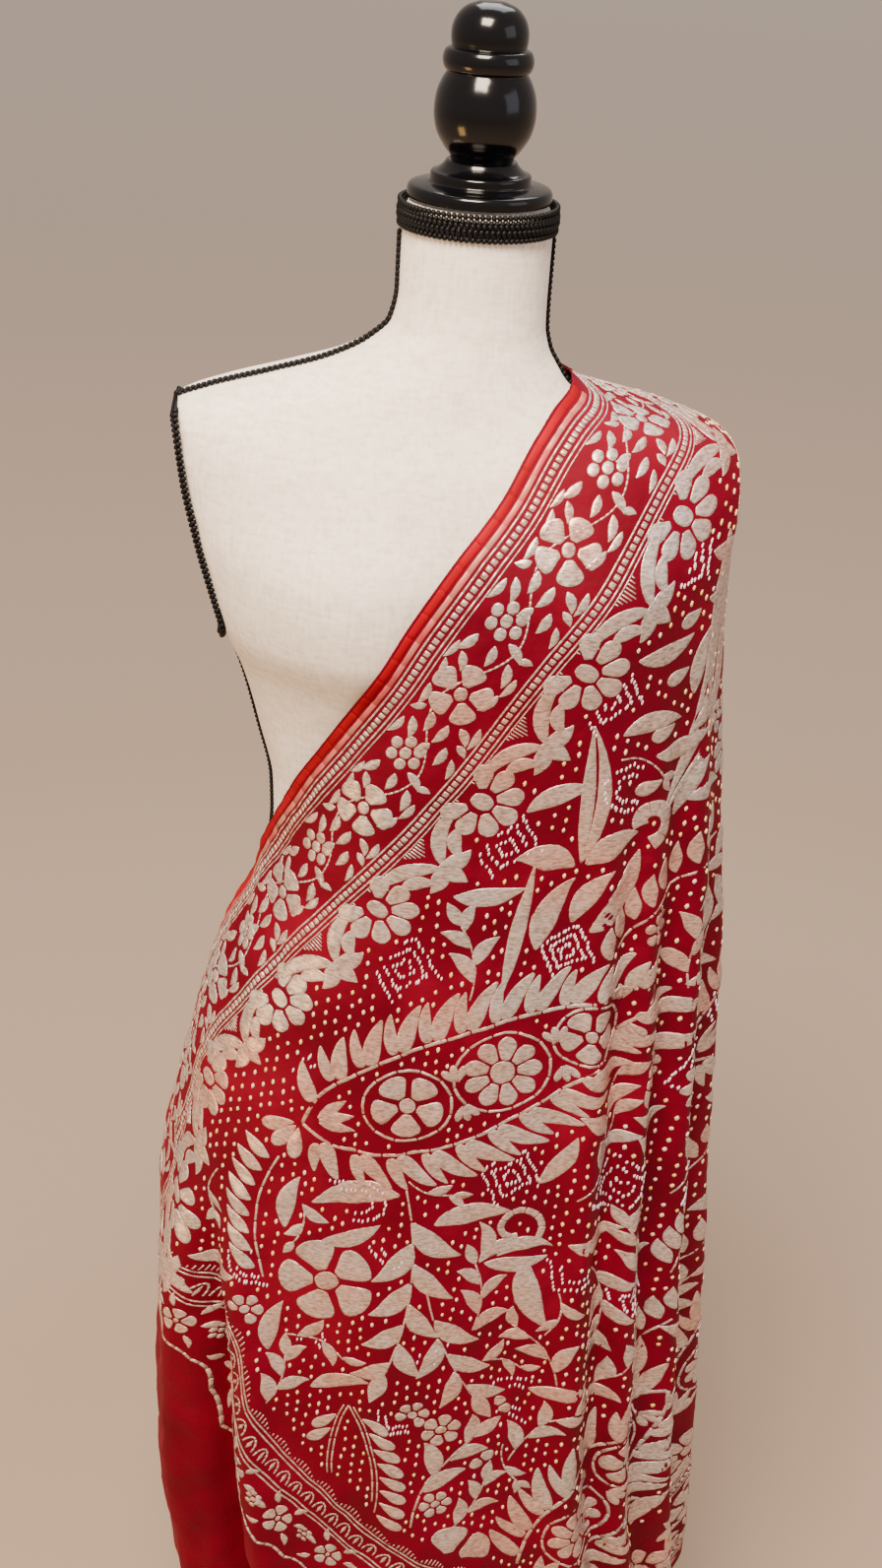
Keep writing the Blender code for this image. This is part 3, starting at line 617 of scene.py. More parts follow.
# %% Colour and node helpers
def colour(code):
    """Linear colour of an sRGB hex code: the sRGB curve undone for each channel."""
    values = [int(code[k:k + 2], 16) / 255 for k in (1, 3, 5)]
    linear = [v / 12.92 if v <= 0.04045 else ((v + 0.055) / 1.055) ** 2.4 for v in values]
    return (*linear, 1.0)


def node(material, kind, settings=None, links=None):
    """Add one shader node, set its properties or sockets, and link its inputs."""
    made = material.node_tree.nodes.new(kind)
    for name, value in (settings or {}).items():
        if isinstance(name, int) or name in made.inputs:
            made.inputs[name].default_value = value
        else:
            setattr(made, name, value)
    for name, source in (links or {}).items():
        material.node_tree.links.new(source, made.inputs[name])
    return made


def new_material(name, **sockets):
    """A Principled material with constants set on the shader's own sockets."""
    material = bpy.data.materials.new(name)
    material.use_nodes = True
    shader = material.node_tree.nodes["Principled BSDF"]
    for socket, value in sockets.items():
        shader.inputs[socket.replace("_", " ")].default_value = value
    return material, shader


def ramp(material, factor, stops):
    """A colour ramp from positions and hex colours."""
    made = node(material, "ShaderNodeValToRGB", links={"Fac": factor})
    bar = made.color_ramp
    while len(bar.elements) < len(stops):
        bar.elements.new(0.5)
    for element, (position, code) in zip(bar.elements, stops):
        element.position = position
        element.color = colour(code)
    return made.outputs["Color"]


def noise(material, size_mm, detail=2.0, stretch=(1, 1, 1)):
    """Noise whose grains are about size_mm across, stretched along an axis where it is below 1."""
    place = node(material, "ShaderNodeTexCoord").outputs["Object"]
    if stretch != (1, 1, 1):
        place = node(material, "ShaderNodeMapping", {"Scale": stretch}, {"Vector": place}).outputs[0]
    settings = {"Scale": 1000 / size_mm, "Detail": detail}
    return node(material, "ShaderNodeTexNoise", settings, {"Vector": place}).outputs["Fac"]


def bump(material, shader, height, strength, depth_mm):
    """Relief of depth_mm from a height pattern."""
    settings = {"Strength": strength, "Distance": depth_mm / 1000}
    made = node(material, "ShaderNodeBump", settings, {"Height": height})
    material.node_tree.links.new(made.outputs["Normal"], shader.inputs["Normal"])


def paint(material, shader, source, socket="Base Color"):
    """Link a pattern to one socket of the shader."""
    material.node_tree.links.new(source, shader.inputs[socket])


# %% Silk georgette
# Crepe-twisted silk threads give a matt, pebbly face with a soft glow at the edges.
georgette, shader = new_material(
    "silk_georgette", Roughness=0.66, Sheen_Weight=0.06, Sheen_Roughness=0.40
)
shader.inputs["Sheen Tint"].default_value = colour("#FF3050")
shader.inputs["Specular IOR Level"].default_value = 0.10
paint(georgette, shader, ramp(georgette, noise(georgette, 90, 3), [
    (0.30, "#5A0014"), (0.55, "#6A001A"), (0.75, "#7A0020"),
]))
# Crepe grain is about 0.4 mm in the silk and is drawn at 1.4 mm so that it shows.  Soft
# crumples of about 20 mm lie under it.
crumpled = node(georgette, "ShaderNodeMath", {"operation": "MULTIPLY_ADD", 1: 0.10}, {
    0: noise(georgette, 1.4, 3), 2: noise(georgette, 22, 2),
}).outputs[0]
bump(georgette, shader, crumpled, 0.80, 2.2)

# %% Metal thread brocade
# Flat gilt-silver thread woven in: a dull metal, with grain along the weft and patchy warmth.
zari, shader = new_material("zari_brocade", Metallic=0.55, Roughness=0.40)
grain = noise(zari, 1.6, 2, (0.35, 0.35, 1))
patchy = noise(zari, 110, 2)
mixed = node(zari, "ShaderNodeMix", {"data_type": "RGBA", "blend_type": "MULTIPLY"})
mixed.inputs[0].default_value = 1.0
zari.node_tree.links.new(ramp(zari, patchy, [
    (0.34, "#D2C8C4"), (0.50, "#D8C2BA"), (0.64, "#DFB3A6"),
]), mixed.inputs[6])
zari.node_tree.links.new(ramp(zari, grain, [(0.30, "#B9AFA6"), (0.62, "#FFFFFF")]), mixed.inputs[7])
paint(zari, shader, mixed.outputs[2])
crumpled = node(zari, "ShaderNodeMath", {"operation": "MULTIPLY_ADD", 1: 0.08}, {
    0: grain, 2: noise(zari, 22, 2),
}).outputs[0]
bump(zari, shader, crumpled, 0.85, 2.6)

# %% Tissue strip, tied dots, tied outlines
tissue, shader = new_material("tissue_strip", Metallic=0.30, Roughness=0.50)
paint(tissue, shader, ramp(tissue, noise(tissue, 26, 3), [
    (0.30, "#B83A44"), (0.50, "#C4645C"), (0.70, "#AC8474"),
]))
bump(tissue, shader, noise(tissue, 1.2, 2, (1, 1, 0.3)), 0.5, 0.20)
dot_dye, shader = new_material("resist_dot_yellow", Roughness=0.70)
paint(dot_dye, shader, ramp(dot_dye, noise(dot_dye, 14, 1), [
    (0.35, "#EDBB6E"), (0.50, "#F5D6A0"), (0.65, "#F3CFC0"),
]))
dash_dye, shader = new_material("resist_dash_white", Roughness=0.68)
shader.inputs["Base Color"].default_value = colour("#F2D6E2")
edge_silk, shader = new_material("satin_edge", Roughness=0.50)
shader.inputs["Specular IOR Level"].default_value = 0.06
paint(edge_silk, shader, ramp(edge_silk, noise(edge_silk, 60, 1), [
    (0.35, "#880010"), (0.60, "#9C0018"),
]))

# %% Linen, lacquer, braid and enamel
# Slubby linen canvas, glazed over padding: thick threads stray across a fine plain weave.
linen, shader = new_material("linen_canvas", Roughness=0.88, Sheen_Weight=0.15)
slub = noise(linen, 3.2, 4, (1, 1, 0.25))
cross_slub = noise(linen, 3.0, 4, (0.25, 0.25, 1))
woven = node(linen, "ShaderNodeMath", {"operation": "ADD"}, {0: slub, 1: cross_slub}).outputs[0]
woven = node(linen, "ShaderNodeMath", {"operation": "MULTIPLY", 1: 0.5}, {0: woven}).outputs[0]
paint(linen, shader, ramp(linen, woven, [(0.36, "#E2D6C4"), (0.50, "#F2E8DA"), (0.62, "#FAF3E8")]))
bump(linen, shader, woven, 0.35, 0.35)
lacquer, shader = new_material("lacquered_wood", Roughness=0.16, Coat_Weight=0.15)
shader.inputs["Base Color"].default_value = colour("#040406")
shader.inputs["Specular IOR Level"].default_value = 0.32
shader.inputs["Coat Roughness"].default_value = 0.06
gimp, shader = new_material("rayon_gimp_braid", Roughness=0.50)
shader.inputs["Base Color"].default_value = colour("#0A090B")
shader.inputs["Specular IOR Level"].default_value = 0.18
enamel, shader = new_material("black_enamel", Roughness=0.36)
shader.inputs["Base Color"].default_value = colour("#17171A")
print("materials:", len(bpy.data.materials))


# %% [markdown]
# ## Building meshes
# Every piece is a grid of points put into a mesh at once.  Objects stay at the origin, and
# their place is in their points.

# %% Mesh helpers
def add_piece(name, points, faces, material):
    """One object at the origin from points and faces, shaded smooth, riding on the body."""
    mesh = bpy.data.meshes.new(name)
    mesh.from_pydata(np.asarray(points, float).tolist(), [], faces)
    mesh.materials.append(material)
    mesh.polygons.foreach_set("use_smooth", np.ones(len(mesh.polygons), bool))
    mesh.update()
    piece = bpy.data.objects.new(name, mesh)
    bpy.context.scene.collection.objects.link(piece)
    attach(piece, "root")
    print(name, len(points), "points")
    return piece


def grid_quads(n, m, wrap=False):
    """Quads of an n by m grid numbered row after row, closed across when wrap is set."""
    i, j = np.meshgrid(np.arange(n - 1), np.arange(m if wrap else m - 1), indexing="ij")
    a = i * m + j
    b = i * m + (j + 1) % m
    return np.stack([a, b, b + m, a + m], axis=-1).reshape(-1, 4)


# %% [markdown]
# ## The sheet
# The georgette is one sheet.  Its columns follow the folds from the shoulder to the hem, on
# the same guide lines as the solid, and the rows crowd where it bends over the shoulder.
# A simulation would settle into folds of its own, so the folds are placed instead.

# %% Columns and rows of the sheet
# Columns of each span, and how they crowd: above 1 toward its start, below 1 toward its end
FINE_SPANS = np.array([
    # count  crowd
    (48, 0.70),
    (70, 1.20),
    (138, 1.12),
])
FINE_UPPER = 30
FINE_LOWER = 154
SHEET_THICK = 0.0008


def column_places(spans):
    """Places of the columns, span by span, crowding toward one end."""
    parts = []
    for number, (count, crowd) in enumerate(spans):
        share = np.arange(int(count)) / count
        if crowd < 1:
            share = 1 - (1 - share) ** (1 / crowd)
        else:
            share = share ** crowd
        parts.append(number + share)
    return np.concatenate(parts + [[float(len(spans))]])


def hem_of(place):
    """Depth at which each column meets its own hem, found where it first passes the hem line."""
    depth = np.linspace(DRAPE_START, LOWEST - 0.02, 1500)
    deep = depth[None, :] + 0 * place[:, None]
    girth = girth_of_place(place[:, None] + 0 * deep, deep, GUIDE_LINES)
    over = deep - hem_depth(girth, *CORNER)
    over[0] = depth - CORNER[1]
    first = np.argmax(over > 0, axis=1)
    rows = np.arange(len(place))
    before = over[rows, first - 1]
    after = over[rows, first]
    return depth[first - 1] + (depth[first] - depth[first - 1]) * before / (before - after)


def sheet_grid(place, upper, lower):
    """Girth and depth of the sheet's grid: level rows over the shoulder, then shares down to the hem."""
    top = np.interp(np.linspace(0, len(UPPER_ROWS) - 1, upper), np.arange(len(UPPER_ROWS)), UPPER_ROWS)
    share = np.linspace(0, 1, lower + 1)[1:] ** 1.1
    low = top[-1] + (hem_of(place)[:, None] - top[-1]) * share[None, :]
    depth = np.concatenate([np.broadcast_to(top, (len(place), upper)), low], axis=1)
    return girth_of_place(place[:, None] + 0 * depth, depth, GUIDE_LINES), depth


# %% The sheet with its thickness
place = column_places(FINE_SPANS)
girth, depth = sheet_grid(place, FINE_UPPER, FINE_LOWER)
points = on_cloth(girth, depth, np.zeros_like(girth))
apex = surface_points(girth[:1, :1], depth[:1, :1])[0, 0] + np.array([APEX_LIFT, 0, APEX_LIFT])
n, m = girth.shape
body = points[:, 1:].reshape(-1, 3)
fan_faces = [(i * (m - 1), (i + 1) * (m - 1), n * (m - 1)) for i in range(n - 1)]
quads = grid_quads(n, m - 1)[:, ::-1]
sheet = add_piece(
    "georgette_sheet", np.concatenate([body, apex[None]]), quads.tolist() + fan_faces, georgette
)
skin = sheet.modifiers.new("thickness", "SOLIDIFY")
skin.thickness = SHEET_THICK
skin.offset = 0
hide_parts("cloth")

# %% [markdown]
# ## Drawing with strips
# A weaver builds flowers and leaves from short floats of metal thread.  Here every petal,
# leaf, stem and line is a strip: a cubic centre line with a width that swells and narrows.
# A strip is one row of twelve numbers, so a motif is a small array that can be turned, scaled
# and laid out in a repeat by plain arithmetic.

# %% Strips and their outline forms
LEAF = (0.85, 0.95, 0.00)
BLADE = (0.60, 0.62, 0.00)
PETAL = (1.55, 0.52, 0.00)
BAR = (1.00, 0.10, 0.00)
SQUARE = (1.00, 0.00, 0.00)
DISC = (1.00, 0.50, 0.00)
PEBBLE = (1.00, 0.36, 0.00)
HORN = (0.80, 0.60, 0.00)


def strokes(x0, y0, x1, y1, bend, width, form):
    """Strips from starts to stops, bowed sideways by bend times their length."""
    parts = np.broadcast_arrays(x0, y0, x1, y1, bend, width, *form)
    x0, y0, x1, y1, bend, width, p, q, cut = (np.atleast_1d(v).astype(float) for v in parts)
    run_x, run_y = x1 - x0, y1 - y0
    bow_x, bow_y = -run_y * bend * 4 / 3, run_x * bend * 4 / 3
    return np.stack([
        x0, y0, x0 + run_x / 3 + bow_x, y0 + run_y / 3 + bow_y,
        x1 - run_x / 3 + bow_x, y1 - run_y / 3 + bow_y, x1, y1, width, p, q, cut,
    ], axis=1)


def rays(x, y, turn, near, far, bend, width, form):
    """Strokes that leave a point at an angle in degrees, from a near to a far distance."""
    angle = np.radians(turn)
    c, s = np.cos(angle), np.sin(angle)
    return strokes(x + near * c, y + near * s, x + far * c, y + far * s, bend, width, form)


def thread(x, y, width, form=SQUARE):
    """Strips end to end along a smooth line through points."""
    p = np.stack([x, y], axis=1)
    slope = np.gradient(p, axis=0)
    ends = [p[:-1], p[:-1] + slope[:-1] / 3, p[1:] - slope[1:] / 3, p[1:]]
    wide = np.broadcast_to(width, len(p))[:-1]
    shape = np.stack([wide] + [0 * wide + v for v in form], axis=1)
    return np.concatenate(ends + [shape], axis=1)


def turned(strips, x=0.0, y=0.0, turn=0.0, size=1.0, flip=1):
    """Strips flipped, scaled, turned in degrees and moved."""
    angle = np.radians(turn)
    made = strips.copy()
    px, py = strips[:, 0:8:2] * size, strips[:, 1:8:2] * size * flip
    made[:, 0:8:2] = x + px * np.cos(angle) - py * np.sin(angle)
    made[:, 1:8:2] = y + px * np.sin(angle) + py * np.cos(angle)
    made[:, 8] = strips[:, 8] * size
    return made


def veined(x0, y0, x1, y1, bend, width):
    """A leaf as two half leaves that bow to either side of a thin bare vein."""
    x0, y0, x1, y1, bend, width = (np.asarray(v, float) for v in (x0, y0, x1, y1, bend, width))
    slip = 0.245 * width / np.hypot(x1 - x0, y1 - y0)
    halves = [strokes(x0, y0, x1, y1, bend + side * slip, width * 0.46, LEAF) for side in (-1, 1)]
    return np.concatenate(halves)


# %% Flowers and leaves
def wedges(x, y, turn, near, far, spacing):
    """Petals that fan out from a point with even bare lines between them, rounded at the tip."""
    wide = 1.50 * far * np.sin(np.radians(spacing / 2)) - 0.7
    return rays(x, y, turn, near * far, far, 0, wide, (2.40, 0.60, (near - 0.05) / 0.95))


def flower(petals, radius, heart=0.30):
    """Petals all round a heart, a thin bare line about each."""
    ring = wedges(0, 0, np.arange(petals) * 360 / petals + 18, heart, radius, 360 / petals)
    core = radius * heart - 1.0
    return np.concatenate([ring, strokes(-core, 0, core, 0, 0, core * 1.96, PEBBLE)])


def rose(radius):
    """A broad flower of five petals."""
    return flower(5, radius, 0.27)


def cluster(radius):
    """Six berries about a seventh, as close as cells of a comb."""
    turn = np.radians(np.arange(6) * 60)
    x = np.append(radius * np.cos(turn), 0)
    y = np.append(radius * np.sin(turn), 0)
    return strokes(x - radius * 0.47, y, x + radius * 0.47, y, 0, radius * 0.92, PEBBLE)


def daisy(radius):
    """A hanging flower: one long petal inside a fan of seven."""
    oval = rays(0, 0, 90, 0, radius * 0.58, 0, radius * 0.44, PEBBLE)
    ring = wedges(0, radius * 0.28, np.linspace(-34, 214, 7), 0.34, radius, 248 / 6)
    return np.concatenate([oval, ring])


def sprig(length, leaves, leaf, width, bow=0.12, spread=42):
    """A bowed stem with leaves by turns on either side and one at the tip."""
    t = np.linspace(0, 1, 7)
    stem = thread(t * length, bow * length * 4 * t * (1 - t), 2.2)
    at = np.linspace(0.16, 0.92, leaves)
    x, y = at * length, bow * length * 4 * at * (1 - at)
    lean = np.degrees(np.arctan2(bow * 4 * (1 - 2 * at), 1))
    side = np.where(np.arange(leaves) % 2 == 0, 1, -1)
    far = leaf * (1.0 - 0.35 * at)
    blades = rays(x, y, lean + side * spread, 2.0, far, -side * 0.13, width * (1.10 - 0.3 * at), LEAF)
    tip = rays(length, 0, np.degrees(np.arctan2(-bow * 4, 1)), 0, leaf * 0.6, 0, width * 0.8, LEAF)
    return np.concatenate([stem, blades, tip])


# %% Paisleys, ferns and scrolls
def fringe(x, y, turn, length, width, lean):
    """Leaves set side by side along a line, leaning by an angle from it."""
    return rays(x, y, turn + lean, 3.0, length, 0.08 * np.sign(lean), width, LEAF)


def outline_turn(x, y):
    """Direction of a line at each of its points, in degrees."""
    return np.degrees(np.arctan2(np.gradient(y), np.gradient(x)))


def mango(length, width, ovals):
    """A long paisley: a stout outline, pairs of blades all round it, flowers in ovals inside."""
    t = np.linspace(0, 1, 17)
    bow = 0.10 * length * t * t
    half = width / 2 * np.sin(np.pi * np.clip(t, 0, 1) ** 0.80) ** 0.72
    parts = []
    for side in (-1, 1):
        x, y = t * length, bow + side * half
        parts.append(thread(x, y, 3.8))
        fine = np.linspace(0.05, 0.95, int(length / 26))
        fx, fy = np.interp(fine, t, x), np.interp(fine, t, y + side * 1.6)
        long = 48 * (0.72 + 0.28 * np.sin(np.pi * fine))
        turn = np.interp(fine, t, outline_turn(x, y)) + side * 48
        parts.append(rays(fx, fy, turn, 0, long, side * 0.06, 15.0, BLADE))
        parts.append(rays(fx - 7, fy, turn + side * 22, 0, long * 0.80, side * 0.06, 11.5, BLADE))
    parts.append(rays(-2, 0, np.linspace(116, 244, 5), 5, 36, 0, 14.5, PETAL))
    parts.append(rays(10, 2, np.array([-24, 0, 24]), 5, 36, 0, 11.0, LEAF))
    for at, radius, kind in ovals:
        x = at * length
        y = np.interp(at, t, bow)
        ring = np.radians(np.linspace(0, 360, 13))
        parts.append(thread(x + radius * 1.34 * np.cos(ring), y + radius * 1.22 * np.sin(ring), 2.8))
        parts.append(turned(flower(9, radius * 1.1, 0.36) if kind else rose(radius * 1.1), x, y, 90))
        for side in (-1, 1):
            fan = rays(0, 0, np.array([-32, 0, 32]), 2, 18, 0, 7.5, PETAL)
            parts.append(turned(fan, x + radius * 1.62, y + side * width * 0.10, side * 90))
    return np.concatenate(parts)


def fern(length, width):
    """A frond: an oval of double lines filled with long blades, petals set along its rim."""
    t = np.linspace(0, 1, 13)
    half = width * 0.24 * np.sin(np.pi * t) ** 0.8
    parts = [strokes(8, 0, length - 10, 0, 0.0, width * 0.22, LEAF)]
    for side in (-1, 1):
        parts.append(thread(t * length, side * half, 2.0))
        parts.append(thread(t * length, side * (half + 4.2), 1.8))
        fine = np.linspace(0.07, 0.95, int(length / 16.5))
        at = np.interp(fine, t, side * (half + 5.0))
        parts.append(rays(fine * length, at, side * 58 + 0 * fine, 1.5, width * 0.36, 0, 12.4, PETAL))
    parts.append(rays(length, 0, np.array([-25, 0, 25]), 2, 22, 0, 12, PETAL))
    return np.concatenate(parts)


def hook(length, width):
    """A solid hooked leaf: a broad bowed blade with a curl at its foot and lobes inside."""
    blade = veined(0, 0, length, 0, 0.14, width)
    turn = np.radians(np.linspace(20, 300, 9))
    radius = np.linspace(width * 0.42, width * 0.16, 9)
    curl = thread(length * 1.02 + radius * np.cos(turn), radius * np.sin(turn) - width * 0.2, width * 0.30)
    lobes = rays(np.linspace(0.25, 0.85, 4) * length, -width * 0.18, -62.0, 2, width * 0.55, 0.1, 13, PETAL)
    return np.concatenate([blade, curl, lobes])


def scroll(size):
    """A curling leaf: a spiral stem with two bent blades."""
    turn = np.radians(np.linspace(-70, 250, 10))
    radius = np.linspace(0.34, 0.12, 10) * size
    curl = thread(size * 0.62 + radius * np.cos(turn), size * 0.18 + radius * np.sin(turn), size * 0.10)
    blades = strokes(
        np.array([0, 0.06, 0.22]) * size, np.array([0, 0.05, -0.05]) * size,
        np.array([0.62, 0.30, 0.86]) * size, np.array([-0.16, 0.55, -0.34]) * size,
        np.array([0.22, -0.20, 0.20]), size * 0.20, LEAF,
    )
    return np.concatenate([curl, blades])


def tulip(length, width):
    """A bud: a long petal beside a shorter one, with two broad leaves under them."""
    petals = veined(
        0.0, 0.0, length * np.array([1.0, 0.76]), width * np.array([-0.18, 0.34]),
        np.array([-0.06, 0.10]), width * np.array([0.42, 0.46]),
    )
    leaves = rays(-3, 0, np.array([74, -70]), 4, length * 0.44, np.array([-0.12, 0.12]), width * 0.40, LEAF)
    return np.concatenate([petals, leaves])


# %% [markdown]
# ## The border's repeat
# The border runs along the edge of the cloth in one repeat of 125 mm: a plain red edge, a
# strip of tissue, a ladder between fine lines, a vine with berries and roses, a second ladder,
# combs of short lines, and a row of daisies between scrolls.  It is charted once in
# millimetres, x along the edge and y into the cloth, and repeated by adding to x.

# %% One repeat of the border
REPEAT = 125.0
VINE_LEAVES = np.array([
    # x      y     turn   length  width
    (12.0, 61.0, 62.0, 19.0, 8.5),
    (18.0, 55.0, 8.0, 18.0, 8.0),
    (24.0, 70.0, 20.0, 20.0, 8.5),
    (20.0, 74.0, 110.0, 12.0, 7.0),
    (30.0, 82.0, -8.0, 19.0, 7.0),
    (17.0, 41.0, -22.0, 20.0, 8.5),
    (34.0, 38.0, 30.0, 16.0, 7.5),
    (28.0, 33.0, -10.0, 18.0, 6.0),
    (47.0, 79.0, -20.0, 20.0, 7.5),
    (44.0, 32.0, 8.0, 20.0, 6.5),
    (66.0, 33.0, 4.0, 20.0, 7.0),
    (76.0, 83.0, 4.0, 20.0, 7.0),
    (84.0, 70.0, 48.0, 17.0, 8.5),
    (86.0, 62.0, -6.0, 20.0, 8.5),
    (84.0, 47.0, 10.0, 18.0, 8.5),
    (82.0, 41.0, -50.0, 13.0, 7.0),
    (96.0, 37.0, 24.0, 19.0, 8.0),
    (100.0, 33.0, -10.0, 20.0, 6.5),
    (97.0, 76.0, 62.0, 13.0, 7.0),
    (102.0, 71.0, 2.0, 19.0, 8.5),
    (108.0, 80.0, 20.0, 18.0, 6.5),
    (106.0, 60.0, -28.0, 14.0, 8.0),
])


def border_repeat():
    """Strips of the vine band, the combs and the scroll row for one repeat."""
    x = np.linspace(0, REPEAT, 31)
    vine = thread(x, 57 + 13 * np.sin(2 * np.pi * x / REPEAT + 0.9), 1.9, BAR)
    bx, by, turn, length, width = VINE_LEAVES.T
    parts = [vine, rays(bx, by, turn, 0.8, length, 0.10, width, LEAF)]
    parts.append(turned(cluster(10.4), 0, 51, 12))
    parts.append(turned(cluster(10.4), REPEAT, 51, 12))
    parts.append(turned(rose(24.0), 62, 56, 20))
    comb = np.arange(-4, 5) * 2.6
    tall = 12.0 * (1 - np.abs(np.arange(-4, 5)) / 5.2)
    for middle in (20, 62.5, 105):
        parts.append(strokes(middle + comb, 103.5, middle + comb, 103.5 + tall, 0, 1.3, SQUARE))
    parts.append(turned(daisy(32), 0, 111))
    parts.append(turned(daisy(32), REPEAT, 111))
    for side in (-1, 1):
        parts.append(strokes(62.5 + side * 2, 130, 62.5 + side * 49, 109, side * -0.16, 13, HORN))
        parts.append(strokes(62.5 + side * 36, 121, 62.5 + side * 15, 140, side * 0.22, 12, LEAF))
    parts.append(rays(62.5, 128, np.array([24, 90, 156]), 0, 27, np.array([0.15, 0, -0.15]), 15, LEAF))
    made = np.concatenate(parts)
    return made[made[:, [0, 6]].mean(axis=1) <= REPEAT + 20]


def ladder(middle, run):
    """Squares between two fine lines, along a run of the border."""
    x = np.arange(0, run, 5.6)
    parts = [strokes(x, middle, x + 4.5, middle, 0, 5.2, SQUARE)]
    at = np.arange(0, run, 12.5)
    for offset, wide in ((-5.0, 1.8), (5.0, 1.8), (8.4, 1.3)):
        parts.append(strokes(at, middle + offset, at + 15.5, middle + offset, 0, wide, SQUARE))
    return np.concatenate(parts)


unit = border_repeat()
print("strips in one repeat of the border:", len(unit))

# %% [markdown]
# ## Laying the border on the cloth
# The same border follows four lines: the front edge, the same edge down the back, the far edge
# at the arm side, and the cross border near the cloth's end.  Each line is a frame that turns
# distance along it and distance into the cloth into girth and depth on the chart.

# %% Frames along the edges
EDGE_GIRTH, EDGE_DEPTH = 0.058, 0.118
EDGE_SIN = np.sin(np.radians(SELVEDGE_SLOPE))
EDGE_COS = np.cos(np.radians(SELVEDGE_SLOPE))

# How much wider or narrower than woven the border lies at places along the front edge
BORDER_SPREAD = np.array([
    # along   spread
    (-0.20, 1.00),
    (0.30, 1.00),
    (0.42, 0.93),
    (0.53, 0.84),
    (0.61, 0.80),
    (0.68, 0.92),
    (0.745, 1.12),
    (0.82, 1.36),
    (0.90, 1.45),
    (1.20, 1.45),
])

# The cross border's outer line: how far along the cloth it lies for each distance from the edge
CROSS_LINE = np.array([
    # across  along
    (0.00, 0.930),
    (0.15, 0.900),
    (0.25, 0.885),
    (0.32, 0.950),
    (0.40, 0.985),
    (0.50, 1.000),
    (0.94, 1.000),
])
CROSS_WIDTH = 0.105


def along_across(girth, depth):
    """Distance along the front edge and away from it, measured on the straight slant."""
    g, d = girth - EDGE_GIRTH, depth - EDGE_DEPTH
    return -g * EDGE_SIN + d * EDGE_COS, g * EDGE_COS + d * EDGE_SIN


def front_line():
    """The front edge itself as along and across, so that bands can start exactly on it."""
    depth = np.linspace(DRAPE_START + 0.001, CORNER[1], 300)
    girth, _ = selvedge_girths(depth)
    along, across = along_across(girth, cloth_depth(girth, depth))
    rising = np.maximum.accumulate(along) + np.arange(len(along)) * 1e-7
    return rising, across


FRONT_LINE = front_line()


def front_frame(along, across):
    """Girth and depth at a distance along the front edge and into the cloth."""
    shift = np.interp(along, FRONT_LINE[0], FRONT_LINE[1])
    wide = smooth_table(along, BORDER_SPREAD, 1)
    wide = wide - shift / 0.17
    v = shift + across * wide
    girth = EDGE_GIRTH - along * EDGE_SIN + v * EDGE_COS
    return girth, EDGE_DEPTH + along * EDGE_COS + v * EDGE_SIN


def far_frame(along, across):
    """The same for the far edge, one cloth's width away, measured back into the cloth."""
    v = CLOTH_WIDTH - 0.004 - across
    girth = EDGE_GIRTH - along * EDGE_SIN + v * EDGE_COS
    return girth, EDGE_DEPTH + along * EDGE_COS + v * EDGE_SIN


def back_frame(along, across):
    """Down the back edge: depth grows with distance along, girth falls with distance across."""
    depth = EDGE_DEPTH + 0.012 + along
    _, girth = selvedge_girths(np.clip(depth, DRAPE_START, LOWEST))
    return girth - across, depth


def cross_frame(along, across):
    """Across the cloth's end: along runs from the front edge, across runs away from the end."""
    outer = smooth_table(along, CROSS_LINE, 1)
    u = outer - across * CROSS_WIDTH / 0.105
    girth = EDGE_GIRTH - u * EDGE_SIN + along * EDGE_COS
    return girth, EDGE_DEPTH + u * EDGE_COS + along * EDGE_SIN


def on_frame(strips, line, shift=0.0):
    """Strips in millimetres carried into girth and depth by a frame."""
    made = strips.copy()
    x, y = strips[:, 0:8:2] / 1000 + shift, strips[:, 1:8:2] / 1000
    made[:, 0:8:2], made[:, 1:8:2] = line(x, y)
    made[:, 8] = strips[:, 8] / 1000
    return made


# %% Which side of the cloth a point is on
def split_girth(girth, depth):
    """Girth behind the arm side where the front's drawing meets the back's."""
    depth = np.clip(true_depth(girth, depth), DRAPE_START, LOWEST - 0.02)
    return girth_at(np.full(np.shape(depth), np.radians(38.0)), depth)


def middle_of(strips):
    """Girth and depth at the middle of each strip's centre line."""
    weight = np.array([1, 3, 3, 1]) / 8
    return strips[:, 0:8:2] @ weight, strips[:, 1:8:2] @ weight


def inside_cloth(strips, margin=0.004):
    """Strips whose ends and middle lie on the cloth, a margin inside its edges and hem."""
    keep = np.ones(len(strips), bool)
    for k in (0, 2, 4, 6):
        girth = strips[:, k]
        depth = true_depth(girth, strips[:, k + 1])
        safe = np.clip(depth, DRAPE_START, LOWEST)
        first, last = selvedge_girths(safe)
        end = hem_depth(girth, *CORNER) - margin
        keep &= (girth > first + margin * 0.5) & (girth < last - margin) & (depth < end)
        keep &= depth > 0.1195
    return keep


def front_part(strips, before_cross=True):
    """Strips on the front's side of the split, short of the cross border's outer line."""
    girth, depth = middle_of(strips)
    along, across = along_across(girth, depth)
    keep = girth < split_girth(girth, depth)
    if before_cross:
        keep &= along < np.interp(across, CROSS_LINE[:, 0], CROSS_LINE[:, 1])
    return strips[keep & inside_cloth(strips)]


def back_part(strips):
    """Strips on the back's side of the split."""
    girth, depth = middle_of(strips)
    return strips[(girth > split_girth(girth, depth)) & inside_cloth(strips)]


